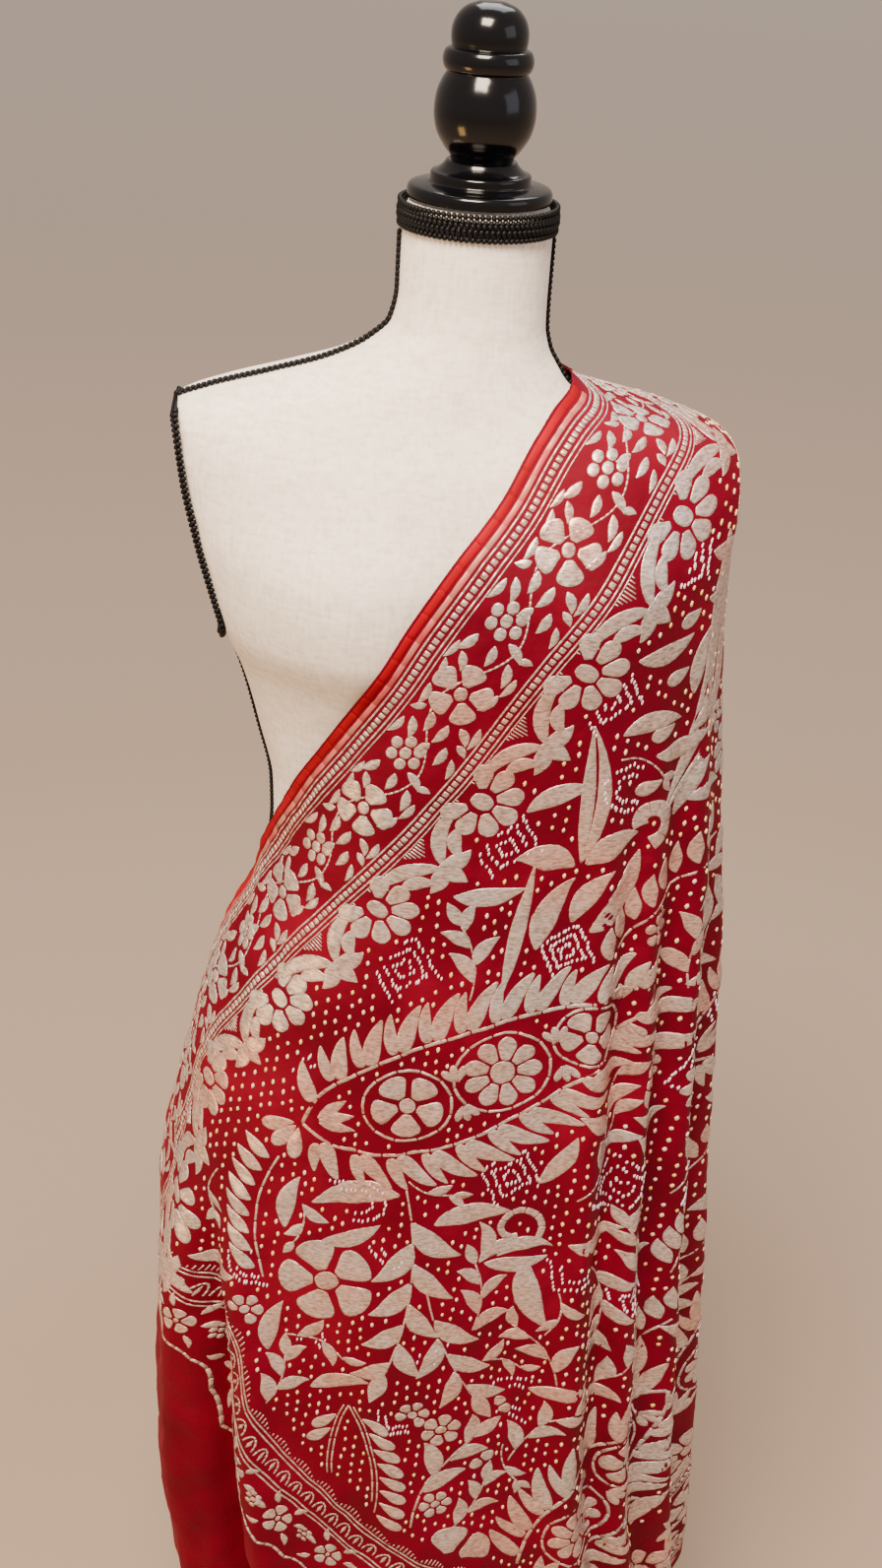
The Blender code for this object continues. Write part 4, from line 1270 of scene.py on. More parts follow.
# %% The border's strips
def repeated(first, last):
    """The border's repeat set end to end between two whole numbers of repeats."""
    parts = []
    for k in range(first, last):
        part = unit.copy()
        part[:, 0:8:2] += k * REPEAT
        parts.append(part)
    made = np.concatenate(parts)
    _, once = np.unique(np.round(made[:, :9], 1), axis=0, return_index=True)
    return made[np.sort(once)]


def border_run(first, last):
    """Repeats with both ladders, as long as the repeats are."""
    run = (last - first) * REPEAT
    rails = np.concatenate([ladder(20.5, run), ladder(94.5, run)])
    rails[:, 0:8:2] += first * REPEAT
    return np.concatenate([repeated(first, last), rails])


front_border = front_part(on_frame(border_run(-3, 8), front_frame, 0.008))
back_border = back_part(on_frame(border_run(0, 9), back_frame))
far_border = front_part(on_frame(border_run(-1, 8), far_frame))


def cross_repeat():
    """The cross border: a scalloped outer line, a rose and leaves, and a row of arches."""
    x = np.linspace(0, 62.5, 9)
    scallop = thread(x, 4 + 3.5 * np.abs(np.sin(np.pi * x / 31.25)), 3.0)
    parts = [scallop, turned(rose(14), 31, 34, 90), turned(cluster(5.6), 0, 36)]
    parts.append(rays(31, 34, np.array([12, 55, 125, 168, -40, -140]), 17, 31, 0.12, 6.5, LEAF))
    ring = np.radians(np.linspace(180, 0, 8))
    for middle in (8, 23.6, 39.2, 54.8):
        parts.append(thread(middle + 6 * np.cos(ring), 66 + 12 * np.sin(ring), 1.9))
        parts.append(rays(middle, 64, 90, 1, 12, 0, 4.0, LEAF))
    at = np.arange(0, 62.5, 12.5)
    for offset in (56, 60.5, 84, 88.5):
        parts.append(strokes(at, offset, at + 15.5, offset, 0, 1.8, SQUARE))
    comb = np.arange(0, 62.5, 3.9)
    parts.append(strokes(comb, 91, comb, 91 + 7 * np.abs(np.sin(np.pi * comb / 31.25)), 0, 1.3, SQUARE))
    return np.concatenate(parts)


def cross_run(count):
    """The cross border's repeat set end to end."""
    part = cross_repeat()
    made = np.tile(part, (count, 1, 1))
    made[:, :, 0:8:2] += (np.arange(count) * 62.5)[:, None, None]
    return made.reshape(-1, 12)


cross_border = on_frame(cross_run(12), cross_frame, 0.0)
girth, depth = middle_of(cross_border)
_, across = along_across(girth, depth)
cross_border = cross_border[(across > 0.150) & (across < 0.770)]
cross_border = front_part(cross_border, before_cross=False)
print("border strips:", len(front_border), len(back_border), len(far_border), len(cross_border))

# %% [markdown]
# ## The field
# Large paisleys, branches, tulips and roses are woven in the middle of the cloth.  They are set
# out by a short table of kind, place, turn and size.  A coverage map in 1.5 mm cells keeps
# one motif off the next, and smaller sprigs and flowers then fill what is still bare.

# %% Coverage map
CELL = 0.0015
MAP_START = np.array([-0.66, -0.17])
cover = np.zeros((980, 1260), bool)


def strip_points(strips, along, across):
    """Points of strips: the cubic centre line moved sideways by the outline form's half width."""
    t = np.asarray(along)
    basis = np.stack([(1 - t) ** 3, 3 * t * (1 - t) ** 2, 3 * t * t * (1 - t), t ** 3], axis=1)
    slope = np.stack([
        -3 * (1 - t) ** 2, 3 * (1 - t) * (1 - 3 * t), 3 * t * (2 - 3 * t), 3 * t * t
    ], axis=1)
    control = strips[:, :8].reshape(-1, 4, 2)
    centre = np.einsum("tk,rkc->rtc", basis, control)
    way = np.einsum("tk,rkc->rtc", slope, control)
    way = way / np.maximum(np.linalg.norm(way, axis=-1, keepdims=True), 1e-9)
    side = np.stack([-way[..., 1], way[..., 0]], axis=-1)
    cut = strips[:, 11:12]
    s = cut + (1 - cut) * t[None, :]
    swell = np.clip(np.sin(np.pi * s ** strips[:, 9:10]), 0, 1) ** strips[:, 10:11]
    half = strips[:, 8:9] / 2 * swell
    return centre[:, :, None, :] + side[:, :, None, :] * (half[:, :, None] * np.asarray(across))[..., None]


def cells_of(strips, grow=1.0):
    """Map cells under each strip, sampled along and across it."""
    points = strip_points(strips, np.linspace(0.02, 0.98, 25), np.linspace(-grow, grow, 11))
    at = ((points - MAP_START) / CELL).astype(int)
    i = np.clip(at[..., 0], 0, cover.shape[0] - 1)
    j = np.clip(at[..., 1], 0, cover.shape[1] - 1)
    return i, j


def free_strips(strips, most=0.12):
    """Strips of which no more than a share lies on cells already taken."""
    if len(strips) == 0:
        return strips
    i, j = cells_of(strips)
    taken = cover[i, j].reshape(len(strips), -1).mean(axis=1)
    return strips[taken <= most]


def mark(strips, grow=1.15):
    """Take the cells under strips."""
    if len(strips):
        i, j = cells_of(strips, grow)
        cover[i, j] = True


for part in (front_border, back_border, far_border, cross_border):
    mark(part)

# %% Motifs of the field
MOTIFS = {
    "mango": mango(310, 98, ((0.29, 27, 0), (0.55, 30, 1), (0.79, 22, 0))),
    "small_mango": mango(215, 84, ((0.36, 25, 1), (0.70, 20, 0))),
    "fern": fern(165, 78),
    "hook": hook(215, 44),
    "tulip": tulip(118, 58),
    "sword": veined(0.0, 0.0, 118, 0.0, 0.05, 26),
    "blade": strokes(0.0, 0.0, 70, 0.0, -0.10, 22, LEAF),
    "branch": sprig(190, 8, 60, 20, 0.07),
    "sprig": sprig(92, 5, 44, 16, 0.12),
    "twig": sprig(56, 3, 34, 13, 0.14),
    "rose": rose(40),
    "flower": flower(6, 18, 0.34),
    "big_flower": flower(9, 31, 0.36),
    "scroll": scroll(74),
    "frond": np.concatenate([
        thread(np.linspace(0, 150, 9), 18 * np.sin(np.linspace(0, 1, 9) * np.pi), 2.6),
        fringe(np.linspace(8, 142, 9), 3 + 18 * np.sin(np.linspace(0.05, 0.95, 9) * np.pi), 0.0,
               34.0, 14.5, 62),
    ]),
}

# Where the large motifs lie on the front
FIELD = (
    # kind      girth   depth   turn  size  flip
    ("mango", -0.108, 0.706, 17, 1.00, 1),
    ("hook", 0.206, 0.206, -101, 1.05, 1),
    ("tulip", 0.098, 0.458, 96, 1.02, 1),
    ("sword", 0.046, 0.575, 82, 1.05, 1),
    ("blade", 0.070, 0.535, 68, 1.00, -1),
    ("blade", 0.110, 0.520, 60, 1.10, 1),
    ("frond", 0.128, 0.560, 34, 1.00, 1),
    ("branch", -0.020, 0.758, -93, 1.02, 1),
    ("branch", -0.004, 0.800, -74, 1.00, -1),
    ("blade", -0.024, 0.764, -166, 1.10, 1),
    ("blade", 0.004, 0.795, 8, 0.95, -1),
    ("scroll", 0.045, 0.838, 32, 0.95, 1),
    ("blade", 0.086, 0.838, -72, 1.15, 1),
    ("rose", -0.083, 0.860, 20, 1.05, 1),
    ("twig", -0.118, 0.925, -20, 1.00, 1),
    ("frond", -0.138, 0.868, 82, 0.95, 1),
    ("fern", -0.060, 0.996, -86, 1.00, 1),
    ("sprig", 0.000, 1.130, 62, 1.20, 1),
    ("flower", 0.022, 1.017, 0, 1.00, 1),
    ("flower", 0.055, 1.052, 20, 1.05, 1),
    ("flower", 0.068, 1.004, 40, 0.95, 1),
    ("rose", 0.037, 1.178, 0, 1.05, 1),
    ("small_mango", 0.118, 1.240, 62, 1.10, -1),
    ("sprig", 0.150, 0.735, 78, 0.95, 1),
    ("sprig", 0.186, 0.905, 96, 0.90, -1),
    ("sprig", 0.148, 0.860, -80, 0.95, 1),
    ("frond", 0.208, 1.010, 42, 0.95, 1),
    ("frond", 0.235, 0.900, 50, 0.90, 1),
    ("tulip", 0.268, 0.985, 70, 0.75, 1),
    ("mango", 0.255, 0.700, 38, 0.90, -1),
    ("big_flower", 0.262, 0.400, 0, 0.95, 1),
    ("branch", 0.262, 0.310, -60, 0.85, 1),
    ("hook", 0.300, 0.560, -80, 0.80, -1),
    ("fern", 0.330, 0.480, -75, 0.95, 1),
    ("small_mango", 0.300, 1.140, 60, 0.95, 1),
    ("tulip", 0.330, 0.880, 90, 0.95, 1),
)

# The same for the back, as distance from the back edge and down it
BACK_FIELD = (
    # kind      across  down   turn  size  flip
    ("mango", 0.225, 0.330, 92, 0.72, 1),
    ("rose", 0.215, 0.385, 0, 0.90, 1),
    ("branch", 0.260, 0.420, -88, 0.90, 1),
    ("tulip", 0.205, 0.600, 90, 0.85, 1),
    ("small_mango", 0.240, 0.860, 95, 0.90, -1),
    ("fern", 0.215, 0.880, -86, 0.75, 1),
    ("scroll", 0.265, 0.660, 70, 0.85, 1),
)

# Small motifs that fill bare places, each tried at every point of a lattice
FILLERS = (
    # kind      pitch   turn  size
    ("sprig", 0.047, 75, 0.90),
    ("blade", 0.031, 40, 0.80),
    ("twig", 0.033, -60, 0.85),
    ("flower", 0.035, 0, 0.85),
)


def on_chart(strips, girth, depth, turn=0.0, size=1.0, flip=1):
    """A motif turned, scaled and set at a girth and depth, up being less depth."""
    made = turned(strips, 0, 0, turn, size / 1000, flip)
    made[:, 0:8:2] = girth + made[:, 0:8:2]
    made[:, 1:8:2] = depth - made[:, 1:8:2]
    return made


def in_field(strips, nearest=0.146):
    """Strips whose four control points lie between the borders and above the cross border."""
    keep = np.ones(len(strips), bool)
    for k in (0, 2, 4, 6):
        girth, depth = strips[:, k], strips[:, k + 1]
        along, across = along_across(girth, depth)
        front = girth < split_girth(girth, depth)
        last = np.interp(across, CROSS_LINE[:, 0], CROSS_LINE[:, 1]) - CROSS_WIDTH
        _, back = selvedge_girths(np.clip(true_depth(girth, depth), DRAPE_START, LOWEST))
        ok_front = (across > nearest) & (across < 0.772) & (along < last)
        keep &= np.where(front, ok_front, girth < back - 0.160)
    return strips[keep & inside_cloth(strips, 0.008)]


def settle(strips, least=0.0):
    """Keep the free strips of one motif in the field, if enough of it is left, and mark them."""
    kept = free_strips(in_field(strips))
    if len(kept) < least * len(strips):
        return kept[:0]
    mark(kept)
    return kept


field_parts = []
for kind, girth, depth, turn, size, flip in FIELD:
    field_parts.append(settle(on_chart(MOTIFS[kind], girth, depth, turn, size, flip)))
back_parts = []
for kind, across, down, turn, size, flip in BACK_FIELD:
    girth, depth = back_frame(np.array(down), np.array(across))
    back_parts.append(settle(on_chart(MOTIFS[kind], girth, depth, turn, size, flip)))
print("strips of the large motifs:", sum(len(p) for p in field_parts + back_parts))

# %% [markdown]
# ## Tied dots and dashed figures
# Each dot is a pinch of cloth bound with thread before dyeing, so it stays pale.  White dashes
# are tied the same way, along drawn squares, diamonds and arcs.  The squares are set first,
# then the fillers, and the dots take what remains.

# %% White figures of dashes
FIGURES = (
    # form      girth   depth   turn  size
    ("square", -0.031, 0.552, 30, 1.00),
    ("square", 0.040, 0.440, 28, 1.00),
    ("square", 0.106, 0.318, 30, 1.00),
    ("square", 0.162, 0.222, 10, 1.05),
    ("arch", 0.133, 0.397, 70, 1.00),
    ("square", 0.095, 0.538, 25, 0.80),
    ("square", 0.067, 0.752, 24, 0.95),
    ("diamond", 0.170, 0.782, 12, 1.10),
    ("arch", 0.088, 0.992, 60, 1.10),
    ("arch", -0.116, 0.640, 120, 0.90),
    ("diamond", 0.239, 0.688, 20, 0.90),
    ("arch", -0.150, 0.858, 80, 0.80),
    ("square", 0.192, 0.905, 20, 0.85),
    ("corner", 0.112, 0.872, 10, 1.00),
    ("corner", -0.030, 0.842, 40, 0.90),
    ("arch", -0.060, 0.775, -90, 1.00),
    ("corner", -0.088, 0.915, 200, 0.80),
    ("square", 0.215, 1.080, 30, 0.85),
    ("corner", 0.010, 0.945, 60, 0.90),
    ("diamond", 0.262, 0.820, 10, 0.90),
    ("square", 0.285, 0.640, 20, 0.90),
    ("square", 0.300, 0.440, 30, 0.90),
    ("diamond", 0.330, 1.020, 0, 0.95),
    ("diamond", 0.430, 0.520, 0, 0.95),
    ("square", 0.440, 0.740, 20, 0.95),
    ("diamond", 0.450, 0.960, 10, 0.95),
    ("corner", -0.030, 1.020, 10, 0.80),
)


def path_points(x, y, pitch):
    """Points at an even pitch along a broken line."""
    run = np.concatenate([[0], np.cumsum(np.hypot(np.diff(x), np.diff(y)))])
    at = np.arange(pitch / 2, run[-1], pitch)
    return np.interp(at, run, x), np.interp(at, run, y)


def figure_points(form):
    """Dash places of one figure in millimetres: nested squares, diamonds, arches or corners."""
    lines = []
    if form in ("square", "diamond"):
        for half, sides in ((22, 4), (14, 5), (6, 5)):
            x = np.array([1, 1, -1, -1, 1])[:sides] * half * 0.95
            y = np.array([-1, 1, 1, -1, -1])[:sides] * half
            turn = np.radians(45 if form == "diamond" else 0)
            c, s = np.cos(turn), np.sin(turn)
            lines.append(path_points(x * c - y * s, x * s + y * c, 3.7))
    if form == "arch":
        for radius in (19, 11):
            turn = np.radians(np.linspace(-10, 200, 15))
            x = np.append(radius * np.cos(turn), -radius)
            y = np.append(radius * np.sin(turn) * 1.3, -radius * 1.3)
            lines.append(path_points(x, y, 4.1))
    if form == "corner":
        for inset in (0, 8):
            x = np.array([inset, inset, 30.0])
            y = np.array([34.0 - inset, inset, inset])
            lines.append(path_points(x, y, 4.1))
    return np.concatenate([line[0] for line in lines]), np.concatenate([line[1] for line in lines])


def dashes(form, girth, depth, turn, size):
    """Short upright dashes along a figure's lines."""
    x, y = figure_points(form)
    shade = np.random.default_rng(int(1000 * depth) + 3)
    x, y = x + shade.normal(0, 0.7, len(x)), y + shade.normal(0, 0.7, len(y))
    angle = np.radians(turn)
    gx = girth + (x * np.cos(angle) - y * np.sin(angle)) * size / 1000
    dy = depth - (x * np.sin(angle) + y * np.cos(angle)) * size / 1000
    tall = shade.uniform(0.0015, 0.0024, len(x))
    return strokes(gx - 0.0004, dy + tall, gx + 0.0004, dy - tall, 0, 0.0021, DISC)


dash_parts = []
for form, girth, depth, turn, size in FIGURES:
    made = dashes(form, girth, depth, turn, size)
    made = free_strips(in_field(made), 0.4)
    dash_parts.append(made)
    if len(made):
        mark(strokes(made[:, 0], made[:, 1], made[:, 6], made[:, 7], 0, 0.006, SQUARE))
white_dashes = np.concatenate(dash_parts)

# %% Fillers, then dots
for kind, pitch, turn, size in FILLERS:
    shade = np.random.default_rng(len(kind) + int(pitch * 1e4))
    girth, depth = np.meshgrid(np.arange(-0.25, 0.70, pitch), np.arange(-0.02, 1.50, pitch))
    tries = np.stack([girth.ravel(), depth.ravel()], axis=1)
    tries = tries + shade.uniform(-0.35, 0.35, tries.shape) * pitch
    lean = shade.uniform(-50, 50, len(tries))
    flips = np.where(shade.uniform(size=len(tries)) < 0.5, -1, 1)
    for (g, d), more, flip in zip(tries, lean, flips):
        made = settle(on_chart(MOTIFS[kind], g, d, turn + more, size, flip), 0.75)
        field_parts.append(made)


def dot_lattice():
    """Dots on a staggered lattice slanting with the cloth's edge, a little uneven."""
    shade = np.random.default_rng(7)
    u, v = np.meshgrid(np.arange(-0.80, 1.1, 0.0098), np.arange(0.10, 0.95, 0.0105))
    v = v + 0.00525 * (np.arange(u.shape[1]) % 2)[None, :]
    u = (u + shade.normal(0, 0.0009, u.shape)).ravel()
    v = (v + shade.normal(0, 0.0009, v.shape)).ravel()
    girth = EDGE_GIRTH - u * EDGE_SIN + v * EDGE_COS
    depth = EDGE_DEPTH + u * EDGE_COS + v * EDGE_SIN
    tall = shade.uniform(0.0017, 0.0025, len(u))
    return strokes(girth - 0.0004, depth + tall, girth + 0.0004, depth - tall, 0, 0.0034, DISC)


dots = free_strips(in_field(dot_lattice(), 0.112), 0.02)
print("dots:", len(dots), "dashes:", len(white_dashes))

# %% [markdown]
# ## From strips to patches
# Each strip becomes a closed, flat patch about 0.4 mm proud of the silk, its rim sunk into the
# cloth so that no gap shows.  Small strips need only a few faces, while broad ones follow the
# folds with more.  All strips of one fineness are computed at once.

# %% Patches from strips
FINENESS = (
    # along, across, height across in millimetres, up to this width
    ((0, 0.06, 0.5, 0.94, 1), (-1, -0.6, 0.6, 1, 0), (0.15, 1, 1, 0.15, 0.0), 0.0056),
    ((0, 0.04, 0.2, 0.4, 0.6, 0.8, 0.96, 1), (-1, -0.75, 0, 0.75, 1, 0),
     (0.15, 1, 1, 1, 0.15, 0.0), 0.0112),
    ((0, 0.03, 0.1, 0.2, 0.3, 0.4, 0.5, 0.6, 0.7, 0.8, 0.9, 0.97, 1),
     (-1, -0.86, -0.5, 0, 0.5, 0.86, 1, 0), (0.15, 1, 1, 1, 1, 1, 0.15, 0.0), 1.0),
)


def strip_faces(count, n, m):
    """Faces of closed strips: fans at both poles and quads between rings, wound outward."""
    ring = (np.arange(n - 2)[:, None] * m + np.arange(m)[None, :])
    turn = np.roll(ring, -1, axis=1)
    quads = np.stack([ring[:-1], turn[:-1], turn[1:], ring[1:]], axis=-1).reshape(-1, 4)
    first, last = (n - 2) * m, (n - 2) * m + 1
    start = np.stack([np.full(m, first), turn[0], ring[0]], axis=1)
    stop = np.stack([np.full(m, last), ring[-1], turn[-1]], axis=1)
    each = first + 2
    shift = (np.arange(count) * each)[:, None, None]
    fans = (np.concatenate([start, stop])[None] + shift).reshape(-1, 3)
    return (quads[None] + shift).reshape(-1, 4).tolist() + fans.tolist()


def patches(name, strips, material, proud=0.00082):
    """One piece from strips: rings of points set on the cloth, with a pole at either end."""
    points, faces, start, low = [], [], 0, 0.0
    for along, across, high, widest in FINENESS:
        some = strips[(strips[:, 8] >= low) & (strips[:, 8] < widest)]
        low = widest
        if len(some) == 0:
            continue
        n, m = len(along), len(across)
        flat = strip_points(some, along, across)
        rise = np.where(np.asarray(high) == 1, proud, np.asarray(high) / 1000)
        rise = np.broadcast_to(rise, flat.shape[:3])
        inner = flat[:, 1:-1]
        rings = on_cloth(inner[..., 0], true_depth(inner[..., 0], inner[..., 1]), rise[:, 1:-1])
        ends = flat[:, [0, -1], -1]
        low_ends = np.full(ends.shape[:2], 0.0002)
        poles = on_cloth(ends[..., 0], true_depth(ends[..., 0], ends[..., 1]), low_ends)
        both = np.concatenate([rings.reshape(len(some), -1, 3), poles], axis=1)
        made = strip_faces(len(some), n, m)
        faces += [[v + start for v in face] for face in made]
        points.append(both.reshape(-1, 3))
        start += both.shape[0] * both.shape[1]
    piece = add_piece(name, np.concatenate(points), faces, material)
    triangles = sum(len(face) - 2 for face in faces)
    print("   ", triangles, "triangles from", len(strips), "strips")
    return piece


border_zari = patches("border_zari", np.concatenate([front_border, far_border]), zari)
border_zari_back = patches("border_zari_back", np.concatenate([back_border, cross_border]), zari)
field = np.concatenate(field_parts + back_parts)
girth, depth = middle_of(field)
lower = depth > 0.62
field_zari_upper = patches("field_zari_upper", field[~lower], zari)
field_zari_lower = patches("field_zari_lower", field[lower], zari)
tied_dots = patches("tied_dots", dots, dot_dye, 0.00110)
tied_dashes = patches("tied_dashes", white_dashes, dash_dye, 0.00110)

# %% The plain red edge and the tissue strip
at = np.arange(-60, 1160, 20.0)
tissue_line = strokes(at, 10.9, at + 22.5, 10.9, 0, 5.0, SQUARE)
edge_line = strokes(at, 4.4, at + 22.5, 4.4, 0, 6.0, SQUARE)
tissue_strips = np.concatenate([
    front_part(on_frame(tissue_line, front_frame)),
    back_part(on_frame(tissue_line, back_frame)),
    front_part(on_frame(tissue_line, far_frame)),
])
edge_strips = front_part(on_frame(edge_line, front_frame))
tissue_piece = patches("tissue_strips", tissue_strips, tissue, 0.00070)
edge_piece = patches("satin_edges", edge_strips, edge_silk, 0.00065)

# %% [markdown]
# ## The dress form
# The torso is linen stretched over padding.  The solid has the right form but shows its flats
# close to, so the same radius formula is computed on a finer grid.

# %% Torso
def torso_grid(sides, rows):
    """Rings of the torso's radius from the neck's top to the lower rim."""
    share = np.linspace(0, 1, rows)
    marks = np.array([0, 0.060, 0.115, 0.180, 0.340, 0.745])
    spots = np.array([0, 0.08, 0.34, 0.55, 0.74, 1.0])
    depth = np.interp(share, spots, marks)
    angle = np.arange(sides) * 2 * np.pi / sides
    angle, depth = np.meshgrid(angle, depth)
    radius = torso_radius(angle, depth)
    z = NECK_TOP - depth
    return np.stack([radius * np.cos(angle), radius * np.sin(angle), z], axis=-1)


rings = torso_grid(216, 190)
n, m = rings.shape[:2]
caps = np.array([[0, 0, NECK_TOP], [0, 0, TORSO_BOTTOM]])
side = grid_quads(n, m, wrap=True)[:, ::-1]
around = np.arange(m)
after = np.roll(around, -1)
top_fan = np.stack([np.full(m, n * m), around, after], axis=1)
low_fan = np.stack([np.full(m, n * m + 1), (n - 1) * m + after, (n - 1) * m + around], axis=1)
torso = add_piece(
    "linen_torso", np.concatenate([rings.reshape(-1, 3), caps]),
    side.tolist() + top_fan.tolist() + low_fan.tolist(), linen,
)
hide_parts("torso")

# %% [markdown]
# ## Plaited braid
# Gimp braid covers each seam of the form.  It is a flat plait, so it is built from two rows of
# small plump stitches that slant toward the middle, one after another along the seam.

# %% Stitches along a path
def stitches(centres, outward, pitch, rows, half_wide, half_thick):
    """Slanting lens-shaped stitches, set in rows across a path and evenly along it."""
    step = np.linalg.norm(np.diff(centres, axis=0), axis=1)
    run = np.concatenate([[0], np.cumsum(step)])
    at = np.arange(pitch / 2, run[-1], pitch)
    place = np.stack([np.interp(at, run, centres[:, k]) for k in range(3)], axis=1)
    out = np.stack([np.interp(at, run, outward[:, k]) for k in range(3)], axis=1)
    way = np.gradient(place, axis=0)
    way = way / np.linalg.norm(way, axis=1, keepdims=True)
    out = out - way * np.sum(way * out, axis=1, keepdims=True)
    out = out / np.linalg.norm(out, axis=1, keepdims=True)
    across = np.cross(way, out)
    points = []
    for row in range(rows):
        offset = (row - (rows - 1) / 2) * 2 * half_wide / rows
        slant = 0.62 if row % 2 == 0 else -0.62
        long = across * np.cos(slant) + way * np.sin(slant)
        short = np.cross(out, long)
        middle = place + across * offset + way * (pitch / 2 if row % 2 else 0)
        points.append(lens(middle, long, short, out, half_wide / rows * 1.30, pitch * 0.52, half_thick))
    return np.concatenate(points)


def lens(middle, long, short, out, half_long, half_short, half_thick):
    """Closed lenses of six by three points with two poles along their length."""
    along = np.array([-0.6, 0.0, 0.6])
    turn = np.arange(6) * np.pi / 3
    swell = np.sqrt(1 - along ** 2)
    a = middle[:, None, None] + long[:, None, None] * (along * half_long)[None, :, None, None]
    b = short[:, None, None] * (half_short * np.cos(turn))[None, None, :, None]
    c = out[:, None, None] * (half_thick * np.sin(turn))[None, None, :, None]
    rings = a + (b + c) * swell[None, :, None, None]
    poles = middle[:, None] + long[:, None] * (np.array([-1, 1]) * half_long)[None, :, None]
    return np.concatenate([rings.reshape(len(middle), 18, 3), poles], axis=1)


def braid_piece(name, groups, replaced):
    """One piece of braid from groups of stitches."""
    points = np.concatenate(groups)
    faces = strip_faces(len(points), 5, 6)
    piece = add_piece(name, points.reshape(-1, 3), faces, gimp)
    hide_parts(*replaced)
    return piece


# %% Seam paths
def seam_path(side, first, last):
    """Centre and outward direction of a side seam's braid between two depths."""
    depth = np.linspace(first, last, 240)
    angle = np.full_like(depth, 0.0 if side > 0 else np.pi)
    reach = torso_radius(angle, depth)
    slope = np.gradient(reach, depth)
    size = np.sqrt(1 + slope * slope)
    out = np.stack([side / size, 0 * depth, slope / size], axis=1)
    centre = np.stack([side * reach, 0 * depth, NECK_TOP - depth], axis=1)
    return centre + out * 0.0016, out


def armhole_rim(side):
    """Depth and half depth from front to back of the arm plate's rim, top to bottom."""
    middle, tall = ARMHOLES[side]
    turn = np.radians(np.linspace(4, 176, 60))
    depth = middle - tall * np.cos(turn)
    half = smooth_table(depth, TORSO, 1 if side < 0 else 2)
    front = smooth_table(depth, TORSO, 3)
    power = smooth_table(depth, TORSO, 5)
    inside = np.clip(1 - (plate_reach(side, depth) / half) ** power, 0.0004, 1)
    return depth, np.maximum(front * inside ** (1 / power), 0.6 * 0.047 * np.sin(turn))


def armhole_path(side):
    """Closed path of the armhole's braid and its outward direction."""
    depth, deep = armhole_rim(side)
    plate = plate_reach(side, depth)
    middle = ARMHOLES[side][0]
    front = np.stack([plate, -deep, depth], axis=1)
    back = np.stack([plate, deep, depth], axis=1)[::-1]
    loop = np.concatenate([front, back, front[:1]])
    out = loop - np.array([0.150, 0, middle])
    out[:, 0] = 0
    out = out / np.linalg.norm(out, axis=1, keepdims=True) * 0.5
    out[:, 0] = np.sqrt(0.75)
    loop = loop + out * (ARMHOLE_BRAID_RADIUS + BRAID_SEAT)
    mirror = np.array([side, 1, -1])
    return loop * mirror + np.array([0, 0, NECK_TOP]), out * mirror


# %% Braids of the seams
seams = []
seam_names = []
for side, tag in ((-1, "left"), (1, "right")):
    middle, tall = ARMHOLES[side]
    seams.append(stitches(*seam_path(side, 0.021, middle - tall - 0.006), 0.0040, 2, 0.0040, 0.0017))
    seams.append(stitches(*seam_path(side, middle + tall + 0.002, 0.738), 0.0040, 2, 0.0040, 0.0017))
    seams.append(stitches(*armhole_path(side), 0.0040, 2, 0.0034, 0.0026))
    seam_names += ["shoulder_braid_" + tag, "side_braid_" + tag, "armhole_braid_" + tag]
braid_piece("plaited_seam_braid", seams, seam_names)

# %% Braid band at the neck
turn = np.linspace(0, 2 * np.pi, 300)
band_out = np.stack([np.cos(turn), np.sin(turn), 0 * turn], axis=1)
band_groups = []
for drop, reach in ((0.0038, 0.0540), (0.0095, 0.0545), (0.0150, 0.0540)):
    radius = np.stack([reach * np.cos(turn), (reach - 0.0014) * np.sin(turn)], axis=1)
    centre = np.column_stack([radius, np.full(len(turn), NECK_TOP - drop)])
    band_groups.append(stitches(centre, band_out, 0.0038, 2, 0.0036, 0.0021))
braid_piece("plaited_neck_braid", band_groups, ["neck_braid"])

# %% [markdown]
# ## Turned wood and metal
# Cap and finial are turned on a lathe and lacquered, and the stand is enamelled steel.  A
# profile turned about the axis is the same thing in numbers: a smooth curve is put through the
# profile's points and carried round in fine steps.

# %% Turning
def smooth_profile(profile, steps):
    """A Catmull-Rom curve through the profile's points, with steps points to each span."""
    p = np.asarray(profile, float)
    slope = np.gradient(p, axis=0)
    t = np.linspace(0, 1, steps, endpoint=False)[:, None, None]
    a = (1 + 2 * t) * (1 - t) ** 2 * p[:-1] + t * (1 - t) ** 2 * slope[:-1]
    b = t * t * (3 - 2 * t) * p[1:] + t * t * (t - 1) * slope[1:]
    return np.concatenate([(a + b).transpose(1, 0, 2).reshape(-1, 2), p[-1:]])


def lathe(name, profile, material, replaced, sides=128):
    """A closed turned piece from radius and height, with a point at either end of the axis."""
    profile = np.asarray(profile, float)
    turn = np.arange(sides) * 2 * np.pi / sides
    rings = np.stack([
        profile[:, :1] * np.cos(turn), profile[:, :1] * np.sin(turn),
        profile[:, 1:] + 0 * turn[None, :],
    ], axis=-1)
    n, m = rings.shape[:2]
    ends = np.array([[0, 0, profile[0, 1]], [0, 0, profile[-1, 1]]])
    around = np.arange(m)
    after = np.roll(around, -1)
    low = np.stack([np.full(m, n * m), after, around], axis=1)
    top = np.stack([np.full(m, n * m + 1), (n - 1) * m + around, (n - 1) * m + after], axis=1)
    quads = grid_quads(n, m, wrap=True)
    faces = quads.tolist() + low.tolist() + top.tolist()
    piece = add_piece(name, np.concatenate([rings.reshape(-1, 3), ends]), faces, material)
    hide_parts(replaced)
    return piece


